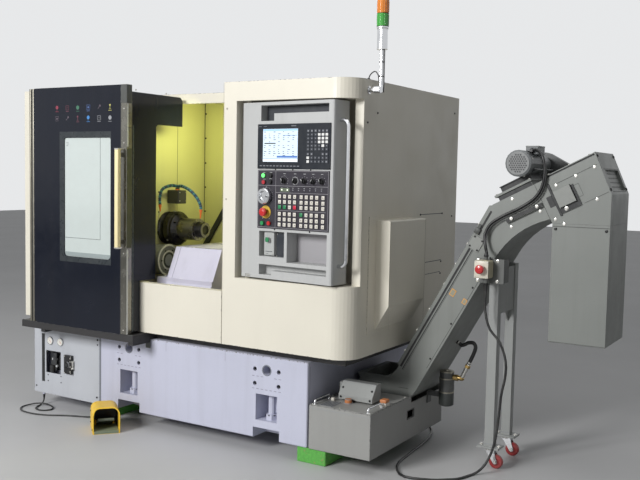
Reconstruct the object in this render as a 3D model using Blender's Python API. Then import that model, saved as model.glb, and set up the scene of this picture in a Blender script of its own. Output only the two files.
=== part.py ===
"""CNC turning lathe with its swivelling operator panel, coolant tank, chip conveyor and foot pedal.

Metres. X runs to the right along the front, Y to the rear, Z up. Sizes are given from the base's
front left corner, and one root empty moves the whole machine so that its origin is on the floor
under the middle of its box.
"""
import math

import bmesh
import bpy
from mathutils import Matrix, Vector

# Clearances between pieces
GAP = 0.0003
SLIDE = 0.0006
RUN = 0.004

# Base casting
BASE_WIDTH = 1.796
BASE_FRONT = 0.04
BASE_REAR = 1.10
BASE_BOTTOM = 0.07
BASE_TOP = 0.46
BAY_WIDTH = 0.499
BAY_DEPTH = 0.10
BAY_BORDER = 0.012
PANEL_SHEET = 0.004
POCKET_WIDTH = 0.120
POCKET_BOTTOM = 0.156
POCKET_TOP = 0.280
POCKET_DEPTH = 0.11
POCKET_CENTRES = (0.710, BASE_WIDTH - 0.224)
FORK_SLOT_WIDTH = 0.149
FORK_SLOT_HEIGHT = 0.05
LIFT_HOLE_Z = 0.396
LIFT_HOLE_RADIUS = 0.022
PLATE_HALF = 0.092
BOLT_RADIUS = 0.011

# Timbers that the base stands on
TIMBER_FRONT = 0.046
TIMBER_LENGTH = 1.0
TIMBER_LEFT = (0.438, 0.560)
TIMBER_RIGHT = (BASE_WIDTH - 0.054, BASE_WIDTH + 0.097)

# The door's place along the front
DOOR_LEFT = 0.163
DOOR_WIDTH = 0.662

# Sheet metal body
SUB_TOP = 0.4990
BODY_LEFT = -0.025
BODY_RIGHT = BASE_WIDTH + 0.231
BODY_REAR = 1.142
BODY_TOP = 1.722
CORNER_RADIUS = 0.105
COLUMN_WIDTH = 0.175
OPEN_LEFT = DOOR_LEFT + DOOR_WIDTH - 0.040
OPEN_RIGHT = BASE_WIDTH - 0.461
SILL_TOP = 0.752
CHAMBER_LEFT = OPEN_LEFT - 0.085
CHAMBER_WIDTH = OPEN_RIGHT - CHAMBER_LEFT
CHAMBER_REAR = 0.650
COVER_TOP = 1.655
ROOF_FRONT = 0.330
ROOF_UNDER = 1.690
BEAM_DROP = 0.030
FRONT_SHEET = 0.030

# Bay in the right body that the operator panel swings in
RECESS_LEFT = OPEN_RIGHT + 0.075
RECESS_POST = BODY_RIGHT - 0.044
RECESS_BOTTOM = 0.820
RECESS_TOP = 1.634
RECESS_DEPTH = 0.165
RECESS_SIDE_DEPTH = 0.090

# Sliding door
DOOR_FRONT = -0.098
DOOR_SLAB = 0.033
DOOR_TOP = 1.722
DOOR_TRIM = 0.042
RETURN_REAR = 0.109
RETURN_SHEET = 0.026
RETURN_TOP = 1.690
ARM_REAR = 0.310
ARM_BOTTOM = 1.540
HOOD_SHEET = 0.018
WINDOW_LEFT = 0.228
WINDOW_RIGHT = DOOR_WIDTH - 0.110
WINDOW_BOTTOM = 0.862
WINDOW_TOP = 1.466
GRIP_BOTTOM = 0.926
GRIP_TOP = 1.412

# Spindle
SPINDLE_Y = 0.345
SPINDLE_Z = 1.003
FLANGE_RADIUS = 0.088
FLANGE_LENGTH = 0.032
CHUCK_RADIUS = 0.0915
CHUCK_LENGTH = 0.075
NOSE_RADIUS = 0.057
NOSE_LENGTH = 0.105
CAP_RADIUS = 0.040
CAP_LENGTH = 0.045
BORE_RADIUS = 0.024

# Carriage cover in the chamber
CARRIAGE_LEFT = CHAMBER_LEFT + CHAMBER_WIDTH * 0.2913
CARRIAGE_WIDTH = CHAMBER_WIDTH * 0.4646
CARRIAGE_TOP = 0.922
CARRIAGE_STEP = 0.768
CARRIAGE_STEP_LEFT = 0.060

# Operator panel
PANEL_ANGLE = -6.0
PANEL_WIDTH = 0.522
PANEL_DEPTH = 0.118
PANEL_BOTTOM = 0.828
PANEL_TOP = 1.625
HINGE_X = RECESS_LEFT + 0.040
HINGE_Y = 0.047
HINGE_FROM_LEFT = 0.016
HINGE_FROM_FRONT = 0.027
PROUD = 0.004

# Push buttons: how far the stem stands in its bore, the play around it, and each button's place
# on the panel, stem radius, head profile (distance along the axis, radius) and colour
STEM_IN = 0.0005
BORE_PLAY = 0.0005
MUSHROOM = ((-0.015, 0.0085), (-0.016, 0.019), (-0.024, 0.020), (-0.029, 0.016), (-0.031, 0.008))
FLAT_HEAD = ((-0.009, 0.0095), (-0.010, 0.0085))
PANEL_BUTTONS = (
    ("emergency_button", 0.150, 1.132, 0.0085, MUSHROOM, "red"),
    ("start_button", 0.133, 1.081, 0.0095, FLAT_HEAD, "green"),
    ("stop_button", 0.172, 1.082, 0.0095, FLAT_HEAD, "red"),
)

# Side cover on the right of the body
SIDE_COVER_FRONT = 0.222
SIDE_COVER_REAR = 0.598
SIDE_COVER_OUT = 0.073
SIDE_COVER_TOP = 1.107
SIDE_COVER_KNEE = 0.722
SIDE_COVER_BOTTOM = 0.616
FLANGE_SHEET = 0.003

# Coolant tank
TANK_LEFT = BASE_WIDTH + 0.010
TANK_WIDTH = 0.314
TANK_RIGHT = TANK_LEFT + TANK_WIDTH
TANK_FRONT = 0.040
TANK_REAR = 0.810
TANK_BOTTOM = 0.070
TANK_TOP = 0.272
TANK_WALL = 0.006
LID_REAR = 0.420

# Chip conveyor
CONVEYOR_FRONT = 0.450
CONVEYOR_WIDTH = 0.320
TAIL_LEFT = TANK_LEFT + 0.029
TAIL_BOTTOM = 0.224
TAIL_TOP = 0.318
TAIL_BEND = 0.150
RISE_START_X = TANK_RIGHT + 0.007
RISE_START_Z = 0.280
RISE_ANGLE = 60.6
RISE_DEPTH = 0.133
RISE_LENGTH = 0.770
HEAD_ANGLE = 27.0
HEAD_LEFT_X = RISE_START_X + 0.618
HEAD_LEFT_Z = 1.135
HEAD_DEPTH = 0.165
HEAD_LENGTH = 0.2865
END_FACE = 0.191
END_CAP_RISE = 0.012
STRIP_BOTTOM = 0.186
STRIP_TOP = 0.196
MOTOR_PLATE_BOTTOM = 0.220
MOTOR_PLATE_TOP = 0.2235
CHUTE_TOP = 1.118
CHUTE_BOTTOM = 0.606
SHEET = 0.004

# Conveyor legs and casters
LEG_SIZE = 0.042
LEG_X = RISE_START_X + 0.378
LEG_FRONT_Y = 0.452
LEG_REAR_Y = 0.672
LEG_BOTTOM = 0.098
WHEEL_RADIUS = 0.032
WHEEL_WIDTH = 0.022
CASTER_TRAIL = 0.030
STOP_BOX_FRONT = 0.356

# Foot pedal
GUARD_X = 0.681
GUARD_Y = -0.098
GUARD_TURN = 49.6
GUARD_WIDTH = 0.133
GUARD_LENGTH = 0.170
GUARD_HEIGHT = 0.125
GUARD_WALL = 0.005

# Free cords: radius, and the points that each route passes. The lead's X is from the base's right end.
FLOOR = 0.0003
LEAD_RADIUS = 0.0055
LEAD_ROUTE = [
    (0.6940, 0.388, 0.8457),
    (0.6940, 0.388, 0.8000),
    (0.6960, 0.388, 0.7200),
    (0.7190, 0.388, 0.6450),
    (0.7660, 0.388, 0.5920),
    (0.7960, 0.388, 0.5150),
    (0.7970, 0.388, 0.4400),
    (0.7820, 0.388, 0.3570),
    (0.7730, 0.388, 0.2430),
    (0.7600, 0.384, 0.1400),
    (0.7340, 0.365, 0.0550),
    (0.6940, 0.330, 0.0058),
    (0.6610, 0.235, 0.0058),
    (0.6170, 0.189, 0.0058),
    (0.5520, 0.145, 0.0058),
    (0.4390, 0.127, 0.0058),
    (0.3580, 0.246, 0.0058),
    (0.3340, 0.418, 0.0058),
    (0.3160, 0.620, 0.0058),
    (0.2840, 0.780, 0.0058),
    (0.2340, 0.880, 0.0058),
    (0.1790, 0.930, 0.0200),
    (0.1240, 0.940, 0.0850),
    (0.0790, 0.940, 0.1370),
    (0.0520, 0.940, 0.1500),
    (0.0360, 0.940, 0.1500),
    (0.0205, 0.940, 0.1500),
]
PEDAL_CORD_RADIUS = 0.004
PEDAL_CORD_ROUTE = [
    (0.0600, 0.0550, 0.0577),
    (0.0605, 0.0540, 0.0420),
    (0.0630, 0.0470, 0.0190),
    (0.0680, 0.0250, 0.0058),
    (0.0780, -0.0040, 0.0043),
    (0.1080, -0.0450, 0.0043),
    (0.1620, -0.0520, 0.0043),
    (0.1920, -0.0150, 0.0043),
    (0.1640, 0.0220, 0.0070),
    (0.1100, 0.0260, 0.0145),
    (0.0650, 0.0060, 0.0160),
    (0.0300, -0.0220, 0.0090),
    (0.0220, -0.0680, 0.0043),
    (0.0750, -0.1130, 0.0043),
    (0.1700, -0.1220, 0.0043),
    (0.2600, -0.0970, 0.0043),
    (0.3400, -0.0500, 0.0043),
    (0.4300, -0.0130, 0.0043),
    (0.5100, 0.0080, 0.0120),
    (0.5600, 0.0060, 0.0330),
    (0.5880, -0.0188, 0.0400),
    (0.6055, -0.0337, 0.0400),
]

FREE_CORDS = ("conveyor_lead", "pedal_cord")

ROOT = None


def clear_scene():
    for old in list(bpy.data.objects):
        bpy.data.objects.remove(old, do_unlink=True)


def paint(name, colour, roughness, metallic=0.0):
    """One Principled material; colour is linear RGB."""
    made = bpy.data.materials.new(name)
    made.use_nodes = True
    shader = made.node_tree.nodes["Principled BSDF"]
    shader.inputs["Base Color"].default_value = (*colour, 1.0)
    shader.inputs["Roughness"].default_value = roughness
    shader.inputs["Metallic"].default_value = metallic
    made.diffuse_color = (*colour, 1.0)
    return made


def empty(name, place, parent=None, turn=0.0):
    """An empty that carries a moving group; place is in machine sizes or in the parent's."""
    made = bpy.data.objects.new(name, None)
    bpy.context.scene.collection.objects.link(made)
    made.parent = parent or ROOT
    made.location = place
    made.rotation_euler[2] = math.radians(turn)
    return made


def piece(name, mesh, material, parent=None, origin=(0.0, 0.0, 0.0)):
    """An object whose mesh keeps its place while its origin goes to the point given."""
    mesh.transform(Matrix.Translation(-Vector(origin)))
    made = bpy.data.objects.new(name, mesh)
    bpy.context.scene.collection.objects.link(made)
    made.parent = parent or ROOT
    made.location = origin
    mesh.materials.clear()
    if material:
        mesh.materials.append(material)
    return made


def from_bmesh(work):
    bmesh.ops.recalc_face_normals(work, faces=work.faces)
    mesh = bpy.data.meshes.new("solid")
    work.to_mesh(mesh)
    work.free()
    return mesh


def block(low, high, edge=0.0, steps=1):
    """A box between two corners, with rounded or chamfered edges if an edge size is given."""
    work = bmesh.new()
    bmesh.ops.create_cube(work, size=1.0)
    low = Vector(low)
    high = Vector(high)
    size = high - low
    for vertex in work.verts:
        vertex.co = low + Vector(((vertex.co[i] + 0.5) * size[i] for i in range(3)))
    if edge:
        bmesh.ops.bevel(work, geom=work.edges[:], offset=edge, segments=steps, profile=0.5, affect="EDGES")
    return from_bmesh(work)


def arc(centre, radius, start, end, steps):
    """Points on an arc, angles in degrees, both ends included."""
    points = []
    for i in range(steps + 1):
        angle = math.radians(start + (end - start) * i / steps)
        points.append((centre[0] + radius * math.cos(angle), centre[1] + radius * math.sin(angle)))
    return points


def rounded(corners, steps=4):
    """An outline from corners (a, b, radius), each radius drawn as an arc."""
    outline = []
    count = len(corners)
    for i, (a, b, radius) in enumerate(corners):
        here = Vector((a, b))
        before = (Vector(corners[i - 1][:2]) - here).normalized()
        after = (Vector(corners[(i + 1) % count][:2]) - here).normalized()
        if radius <= 0:
            outline.append((a, b))
            continue
        half = before.angle(after) / 2
        reach = radius / math.tan(half)
        centre = here + (before + after).normalized() * (radius / math.sin(half))
        first = here + before * reach - centre
        last = here + after * reach - centre
        turn = first.angle_signed(last)
        for k in range(steps + 1):
            spoke = first.copy()
            spoke.rotate(Matrix.Rotation(-turn * k / steps, 2))
            outline.append(tuple(centre + spoke))
    return outline


def prism(outline, axis, low, high):
    """An outline pulled along an axis. X takes (y, z), Y takes (x, z) and Z takes (x, y)."""
    place = {
        "X": lambda a, b, t: (t, a, b),
        "Y": lambda a, b, t: (a, t, b),
        "Z": lambda a, b, t: (a, b, t),
    }[axis]
    work = bmesh.new()
    ends = [[work.verts.new(place(a, b, t)) for a, b in outline] for t in (low, high)]
    for end in ends:
        work.faces.new(end)
    for i in range(len(outline)):
        j = (i + 1) % len(outline)
        work.faces.new((ends[0][i], ends[0][j], ends[1][j], ends[1][i]))
    return from_bmesh(work)


def turned(profile, axis, centre, sides=24):
    """A profile of (distance along the axis, radius) spun about an axis.

    A profile that ends where it starts makes a ring.
    """
    work = bmesh.new()
    rings = []
    closed = profile[0] == profile[-1]
    for along, radius in profile[: -1 if closed else None]:
        if radius <= 0:
            rings.append([work.verts.new((0, 0, along))])
            continue
        ring = []
        for i in range(sides):
            angle = 2 * math.pi * i / sides
            ring.append(work.verts.new((radius * math.cos(angle), radius * math.sin(angle), along)))
        rings.append(ring)
    if closed:
        rings.append(rings[0])
    for low, high in zip(rings, rings[1:]):
        for i in range(sides):
            j = (i + 1) % sides
            if len(low) == 1 and len(high) == 1:
                continue
            if len(low) == 1:
                work.faces.new((low[0], high[i], high[j]))
            elif len(high) == 1:
                work.faces.new((low[i], low[j], high[0]))
            else:
                work.faces.new((low[i], low[j], high[j], high[i]))
    for end in () if closed else (rings[0], rings[-1]):
        if len(end) > 1:
            work.faces.new(end)
    turn = {
        "X": Matrix.Rotation(math.radians(90), 3, "Y"),
        "Y": Matrix.Rotation(math.radians(-90), 3, "X"),
        "Z": Matrix.Identity(3),
    }[axis]
    for vertex in work.verts:
        vertex.co = turn @ vertex.co + Vector(centre)
    return from_bmesh(work)


def drum(radius, axis, centre, low, high, sides=16, edge=0.0):
    """A cylinder from low to high along an axis, with chamfered rims if an edge is given."""
    if edge:
        profile = [(low, radius - edge), (low + edge, radius), (high - edge, radius), (high, radius - edge)]
    else:
        profile = [(low, radius), (high, radius)]
    return turned(profile, axis, centre, sides)


def merge(first, others, operation="UNION"):
    """The exact Boolean of a mesh with others; the others are used up."""
    body = bpy.data.objects.new("body", first)
    bpy.context.scene.collection.objects.link(body)
    for other in others:
        tool = bpy.data.objects.new("tool", other)
        bpy.context.scene.collection.objects.link(tool)
        step = body.modifiers.new("step", "BOOLEAN")
        step.operation = operation
        step.solver = "EXACT"
        step.object = tool
        bpy.context.view_layer.update()
        result = bpy.data.meshes.new_from_object(
            body.evaluated_get(bpy.context.evaluated_depsgraph_get())
        )
        body.modifiers.clear()
        body.data = result
        bpy.data.objects.remove(tool, do_unlink=True)
    result = body.data
    bpy.data.objects.remove(body, do_unlink=True)
    return result


def cut(first, others):
    return merge(first, others, "DIFFERENCE")


def smooth_path(points, count):
    """Evenly numbered points on a smooth curve through the points given."""
    knots = [Vector(p) for p in points]
    knots = [knots[0] * 2 - knots[1]] + knots + [knots[-1] * 2 - knots[-2]]
    spans = len(knots) - 3
    path = []
    for i in range(count):
        place = i * spans / (count - 1)
        k = min(int(place), spans - 1)
        t = place - k
        a, b, c, d = knots[k : k + 4]
        path.append(
            0.5 * (
                (2 * b) + (c - a) * t + (2 * a - 5 * b + 4 * c - d) * t**2 + (3 * b - a - 3 * c + d) * t**3
            )
        )
    return path


def tube(name, path, radius, material, parent=None, resolution=2):
    """A round bar or cord along a path, closed at both ends."""
    line = bpy.data.curves.new(name, "CURVE")
    line.dimensions = "3D"
    line.bevel_depth = radius
    line.bevel_resolution = resolution
    line.use_fill_caps = True
    spline = line.splines.new("POLY")
    spline.points.add(len(path) - 1)
    for point, place in zip(spline.points, path):
        point.co = (*place, 1.0)
    line.materials.append(material)
    made = bpy.data.objects.new(name, line)
    bpy.context.scene.collection.objects.link(made)
    made.parent = parent or ROOT
    return made


def tube_mesh(path, radius, resolution=2):
    """The same round bar as a mesh, for joining to another solid."""
    made = tube("bar", path, radius, None, None, resolution)
    bpy.context.view_layer.update()
    mesh = bpy.data.meshes.new_from_object(made.evaluated_get(bpy.context.evaluated_depsgraph_get()))
    bpy.data.objects.remove(made, do_unlink=True)
    return mesh


def soften(made, angle=35.0):
    """Smooth shading with sharp edges where the surface really turns."""
    made.data.shade_smooth()
    made.data.set_sharp_from_angle(angle=math.radians(angle))
    return made


def build_base(lavender, grey, dark, timber):
    """The casting with its service bay, levelling pockets and lifting holes, on two timbers."""
    body = block((0, BASE_FRONT, BASE_BOTTOM), (BASE_WIDTH, BASE_REAR, BASE_TOP), 0.004, 1)
    cutters = [
        block(
            (BAY_BORDER, BASE_FRONT - 0.01, BASE_BOTTOM + BAY_BORDER),
            (BAY_WIDTH - BAY_BORDER, BASE_FRONT + BAY_DEPTH, BASE_TOP - BAY_BORDER),
        ),
        block(
            (-0.01, BASE_FRONT - 0.01, BASE_BOTTOM - 0.01),
            (BAY_WIDTH, BASE_FRONT + PANEL_SHEET + GAP, BASE_TOP + 0.01),
        ),
    ]
    for x in POCKET_CENTRES:
        half = POCKET_WIDTH / 2
        slot = FORK_SLOT_WIDTH / 2
        cutters.append(
            block(
                (x - half, BASE_FRONT - 0.01, POCKET_BOTTOM),
                (x + half, BASE_FRONT + POCKET_DEPTH, POCKET_TOP),
            )
        )
        cutters.append(
            block(
                (x - slot, BASE_FRONT - 0.01, BASE_BOTTOM - 0.01),
                (x + slot, BASE_FRONT + POCKET_DEPTH, BASE_BOTTOM + FORK_SLOT_HEIGHT),
            )
        )
        cutters.append(
            drum(LIFT_HOLE_RADIUS, "Y", (x, 0, LIFT_HOLE_Z), BASE_FRONT - 0.01, BASE_FRONT + 0.06, 16)
        )
        for side, low in ((-1, 0), (1, 0), (-1, 1), (1, 1)):
            spot = (x + side * 0.067, 0, LIFT_HOLE_Z - 0.068 * low)
            cutters.append(drum(BOLT_RADIUS, "Y", spot, BASE_FRONT - 0.01, BASE_FRONT + 0.012, 8))
    body = cut(body, cutters)
    bolts = []
    for x in POCKET_CENTRES:
        y = BASE_FRONT + POCKET_DEPTH * 0.45
        bolts.append(
            drum(0.017, "Z", (x, y, 0), BASE_BOTTOM + FORK_SLOT_HEIGHT + 0.01, POCKET_TOP + 0.02, 12)
        )
        bolts.append(drum(0.030, "Z", (x, y, 0), POCKET_BOTTOM - 0.005, POCKET_BOTTOM + 0.026, 6))
    exits = [
        drum(0.008, "Z", (0.060, 0.055, 0), BASE_BOTTOM - 0.012, BASE_BOTTOM + 0.004, 12),
        drum(0.011, "X", (0, 0.940, 0.150), BASE_WIDTH - 0.004, BASE_WIDTH + 0.020, 12),
    ]
    body = merge(body, bolts + exits)
    piece("base_casting", body, lavender)

    sheet_rear = BASE_FRONT + PANEL_SHEET
    panel = block((0, BASE_FRONT, BASE_BOTTOM), (BAY_WIDTH - GAP, sheet_rear, BASE_TOP))
    holes = [
        block((0.060, BASE_FRONT - 0.01, 0.134), (0.084, sheet_rear + 0.01, 0.402)),
        block((0.094, BASE_FRONT - 0.01, 0.189), (0.209, sheet_rear + 0.01, 0.312)),
        drum(0.022, "Y", (0.129, 0, 0.368), BASE_FRONT - 0.01, sheet_rear + 0.01, 16),
        drum(0.022, "Y", (0.208, 0, 0.369), BASE_FRONT - 0.01, sheet_rear + 0.01, 16),
    ]
    panel = cut(panel, holes)
    socket = merge(
        block((0.250, BASE_FRONT - 0.016, 0.205), (0.307, BASE_FRONT + 0.002, 0.306), 0.003, 1),
        [drum(0.016, "Y", (0.2785, 0, 0.2555), BASE_FRONT - 0.026, BASE_FRONT, 16)],
    )
    panel = merge(panel, [socket])
    piece("service_panel", panel, grey)

    back = BASE_FRONT + BAY_DEPTH
    unit = merge(
        block((0.100, BASE_FRONT + 0.030, 0.343), (0.238, back - GAP, 0.394), 0.003, 1),
        [
            drum(0.0185, "Y", (0.129, 0, 0.368), BASE_FRONT - 0.004, BASE_FRONT + 0.040, 14, 0.002),
            drum(0.0185, "Y", (0.208, 0, 0.369), BASE_FRONT - 0.004, BASE_FRONT + 0.040, 14, 0.002),
            block((0.104, BASE_FRONT + 0.020, 0.196), (0.150, back - GAP, 0.300), 0.004, 1),
            block((0.158, BASE_FRONT + 0.034, 0.200), (0.196, back - GAP, 0.286), 0.004, 1),
            block((0.112, BASE_FRONT + 0.050, 0.290), (0.190, back - GAP, 0.350)),
            block((0.120, BASE_FRONT + 0.050, 0.230), (0.180, back - GAP, 0.250)),
        ],
    )
    piece("air_unit", unit, dark)

    for name, (left, right) in (("timber_left", TIMBER_LEFT), ("timber_right", TIMBER_RIGHT)):
        piece(
            name,
            block(
                (left, TIMBER_FRONT, 0), (right, TIMBER_FRONT + TIMBER_LENGTH, BASE_BOTTOM - GAP), 0.003, 1
            ),
            timber,
        )

    frame = block((0.010, 0.080, BASE_TOP + GAP), (BODY_RIGHT - 0.060, BASE_REAR, SUB_TOP))
    door_right = DOOR_LEFT + DOOR_WIDTH
    rail = block((0.060, DOOR_FRONT + 0.004, BASE_TOP + GAP), (door_right + 0.037, 0.085, SUB_TOP - 0.004))
    hooks = [
        block((x, DOOR_FRONT + 0.012, BASE_TOP - 0.016), (x + 0.030, BASE_FRONT - 0.004, BASE_TOP + 0.004))
        for x in (DOOR_LEFT + 0.037, door_right + 0.001)
    ]
    piece("sub_frame", merge(frame, [rail] + hooks), dark)


def build_body(cream, dark):
    """The sheet metal body: headstock side, right side with its recess, apron, roof and rear."""
    low = SUB_TOP + GAP
    beam_rear = ROOF_FRONT + 0.016
    headstock = merge(
        block((BODY_LEFT, 0, low), (BODY_LEFT + COLUMN_WIDTH, BODY_REAR, BODY_TOP), 0.003, 1),
        [
            block((BODY_LEFT + 0.1, 0.002, low), (CHAMBER_LEFT, BODY_REAR - 0.002, COVER_TOP)),
            block(
                (BODY_LEFT + 0.1, beam_rear + GAP, 1.0), (CHAMBER_LEFT, BODY_REAR - 0.002, ROOF_UNDER - GAP)
            ),
            block((CHAMBER_LEFT - 0.02, 0.002, low), (OPEN_LEFT, FRONT_SHEET, COVER_TOP)),
            block(
                (CHAMBER_LEFT - 0.02, CHAMBER_REAR, low),
                (OPEN_RIGHT - GAP, BODY_REAR - 0.002, ROOF_UNDER - GAP),
            ),
        ],
    )
    piece("headstock_body", headstock, cream)
    inner = CHAMBER_LEFT + GAP
    roof = prism(
        [
            (ROOF_FRONT, ROOF_UNDER - BEAM_DROP),
            (beam_rear, ROOF_UNDER - BEAM_DROP),
            (beam_rear, ROOF_UNDER),
            (BODY_REAR, ROOF_UNDER),
            (BODY_REAR, BODY_TOP - 0.010),
            (ROOF_FRONT, BODY_TOP - 0.010),
        ],
        "X",
        BODY_LEFT + COLUMN_WIDTH + GAP,
        OPEN_RIGHT - GAP,
    )
    piece("roof", roof, cream)

    apron = prism(
        [
            (0, low),
            (0, SILL_TOP - 0.004),
            (0.004, SILL_TOP),
            (FRONT_SHEET, SILL_TOP),
            (FRONT_SHEET, SILL_TOP - 0.03),
            (FRONT_SHEET + 0.07, low + 0.02),
            (FRONT_SHEET + 0.07, low),
        ],
        "X",
        OPEN_LEFT + GAP,
        OPEN_RIGHT - GAP,
    )
    piece("front_apron", apron, cream)

    outline = rounded(
        [
            (OPEN_RIGHT, 0, 0.006),
            (BODY_RIGHT, 0, CORNER_RADIUS),
            (BODY_RIGHT, BODY_REAR, 0.006),
            (OPEN_RIGHT, BODY_REAR, 0),
        ],
        10,
    )
    right = prism(outline, "Z", low, BODY_TOP)
    right = cut(
        right,
        [
            block((RECESS_LEFT, -0.05, RECESS_BOTTOM), (RECESS_POST, RECESS_DEPTH, RECESS_TOP)),
            block(
                (RECESS_POST - 0.02, -0.05, RECESS_BOTTOM), (BODY_RIGHT + 0.1, RECESS_SIDE_DEPTH, RECESS_TOP)
            ),
        ],
    )
    pins = [
        drum(0.012, "Z", (HINGE_X, HINGE_Y, 0), RECESS_BOTTOM - 0.01, PANEL_BOTTOM - GAP, 14),
        drum(0.012, "Z", (HINGE_X, HINGE_Y, 0), PANEL_TOP + GAP, RECESS_TOP + 0.01, 14),
    ]
    soften(piece("right_body", merge(right, pins), cream), 30)

    wall_low = 0.905
    bar = 0.020
    rise = math.tan(math.radians(57))
    run = CHAMBER_WIDTH * 0.66
    guard_end = OPEN_RIGHT - 0.035
    trim = prism(
        [
            (inner + 0.004, wall_low - 0.030),
            (guard_end, wall_low - 0.030),
            (guard_end, wall_low),
            (inner + 0.040, wall_low),
            (inner + 0.040 + run, wall_low + run * rise),
            (inner + 0.040 + run - bar, wall_low + run * rise + bar * 0.3),
            (inner + 0.004, wall_low - 0.004),
        ],
        "Y",
        CHAMBER_REAR - 0.012,
        CHAMBER_REAR - GAP,
    )
    piece("slant_guard", trim, dark)

    face = BODY_RIGHT + GAP
    out = BODY_RIGHT + SIDE_COVER_OUT
    box = prism(
        [
            (BODY_RIGHT + FLANGE_SHEET * 0.5, SIDE_COVER_TOP),
            (out - 0.006, SIDE_COVER_TOP),
            (out, SIDE_COVER_TOP - 0.006),
            (out, SIDE_COVER_KNEE),
            (BODY_RIGHT + 0.010, SIDE_COVER_BOTTOM),
            (BODY_RIGHT + FLANGE_SHEET * 0.5, SIDE_COVER_BOTTOM),
        ],
        "Y",
        SIDE_COVER_FRONT,
        SIDE_COVER_REAR,
    )
    flange = block((face, 0.155, 0.598), (face + FLANGE_SHEET, SIDE_COVER_REAR + 0.012, 1.122))
    piece("side_cover", merge(flange, [box]), cream)


def build_spindle(dark, teal, grey, lavender):
    """The spindle flange, chuck, coolant pipework, arm hub and the carriage cover."""
    axis = (0, SPINDLE_Y, SPINDLE_Z)
    wall = CHAMBER_LEFT + GAP
    flange_end = wall + FLANGE_LENGTH
    flange = turned(
        [
            (wall, FLANGE_RADIUS),
            (wall + 0.012, FLANGE_RADIUS),
            (wall + 0.016, FLANGE_RADIUS - 0.005),
            (flange_end, FLANGE_RADIUS - 0.010),
        ],
        "X",
        axis,
        20,
    )
    soften(piece("spindle_flange", flange, dark), 30)

    start = flange_end + GAP
    spindle = empty("spindle", (start, SPINDLE_Y, SPINDLE_Z))
    back = start + CHUCK_LENGTH
    front = back + NOSE_LENGTH
    tip = front + CAP_LENGTH
    profile = [
        (start, CHUCK_RADIUS - 0.012),
        (start + 0.010, CHUCK_RADIUS),
        (start + 0.042, CHUCK_RADIUS),
        (start + 0.046, CHUCK_RADIUS - 0.006),
        (start + 0.056, CHUCK_RADIUS - 0.008),
        (back, NOSE_RADIUS + 0.006),
        (back + 0.004, NOSE_RADIUS),
        (front - 0.012, NOSE_RADIUS - 0.003),
        (front, CAP_RADIUS + 0.004),
        (front + 0.004, CAP_RADIUS),
        (tip - 0.003, CAP_RADIUS),
        (tip, CAP_RADIUS - 0.003),
        (tip, BORE_RADIUS),
        (tip - 0.110, BORE_RADIUS),
        (tip - 0.110, 0),
    ]
    profile = [(along - start, radius) for along, radius in profile]
    holes = []
    for i in range(3):
        angle = math.radians(30 + 120 * i)
        y = math.cos(angle) * (NOSE_RADIUS + 0.014)
        z = math.sin(angle) * (NOSE_RADIUS + 0.014)
        holes.append(drum(0.006, "X", (0, y, z), 0.040, 0.100, 8))
    chuck = cut(turned(profile, "X", (0, 0, 0), 24), holes)
    soften(piece("collet_chuck", chuck, dark, spindle), 30)

    block_low = (wall, 0.335, 1.135)
    block_high = (wall + 0.080, 0.402, 1.207)
    carrier = merge(
        block(block_low, block_high, 0.004, 1),
        [drum(0.011, "Z", (wall + 0.045, 0.368, 0), block_high[2] - 0.01, block_high[2] + 0.012, 10)],
    )
    piece("coolant_block", carrier, grey)
    top = block_high[2] + 0.012 + GAP
    hose = [
        (wall + 0.055, 0.222, 1.095),
        (wall + 0.050, 0.224, 1.130),
        (wall + 0.042, 0.232, 1.175),
        (wall + 0.036, 0.262, 1.214),
        (wall + 0.042, 0.318, 1.231),
        (wall + 0.045, 0.368, top + 0.0080),
        (wall + 0.090, 0.350, 1.229),
        (wall + 0.160, 0.316, 1.216),
        (wall + 0.205, 0.304, 1.196),
        (wall + 0.245, 0.300, 1.158),
        (wall + 0.262, 0.300, 1.115),
        (wall + 0.247, 0.300, 1.068),
    ]
    tube("coolant_hose", smooth_path(hose, 32), 0.0085, teal, None, 2)

    hub = turned(
        [
            (wall, 0.080),
            (wall + 0.058, 0.080),
            (wall + 0.060, 0.084),
            (wall + 0.072, 0.084),
            (wall + 0.080, 0.074),
            (wall + 0.080, 0.052),
            (wall + 0.072, 0.048),
            (wall + 0.072, 0),
        ],
        "X",
        (0, 0.262, 0.840),
        20,
    )
    soften(piece("probe_arm_hub", hub, grey), 30)

    carriage = empty("carriage", (CARRIAGE_LEFT, 0.30, SUB_TOP))
    floor = SUB_TOP + GAP
    depth_rear = 0.560
    front = RETURN_REAR + RUN * 2
    slope = [
        (0.200, CARRIAGE_TOP),
        (depth_rear, CARRIAGE_TOP),
        (depth_rear, floor + 0.10),
        (front, floor + 0.10),
        (front, CARRIAGE_STEP - 0.03),
        (front + 0.012, CARRIAGE_STEP),
    ]
    right = CARRIAGE_LEFT + CARRIAGE_WIDTH
    shell = prism(slope, "X", CARRIAGE_LEFT, right)
    left_low = CARRIAGE_LEFT - CARRIAGE_STEP_LEFT
    foot = block((left_low, front + 0.004, floor + SLIDE), (right, depth_rear - 0.02, CARRIAGE_STEP))
    mould = merge(shell, [foot])
    mould.transform(Matrix.Translation((-CARRIAGE_LEFT, -0.30, -SUB_TOP)))
    piece("carriage_cover", mould, lavender, carriage)


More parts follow.
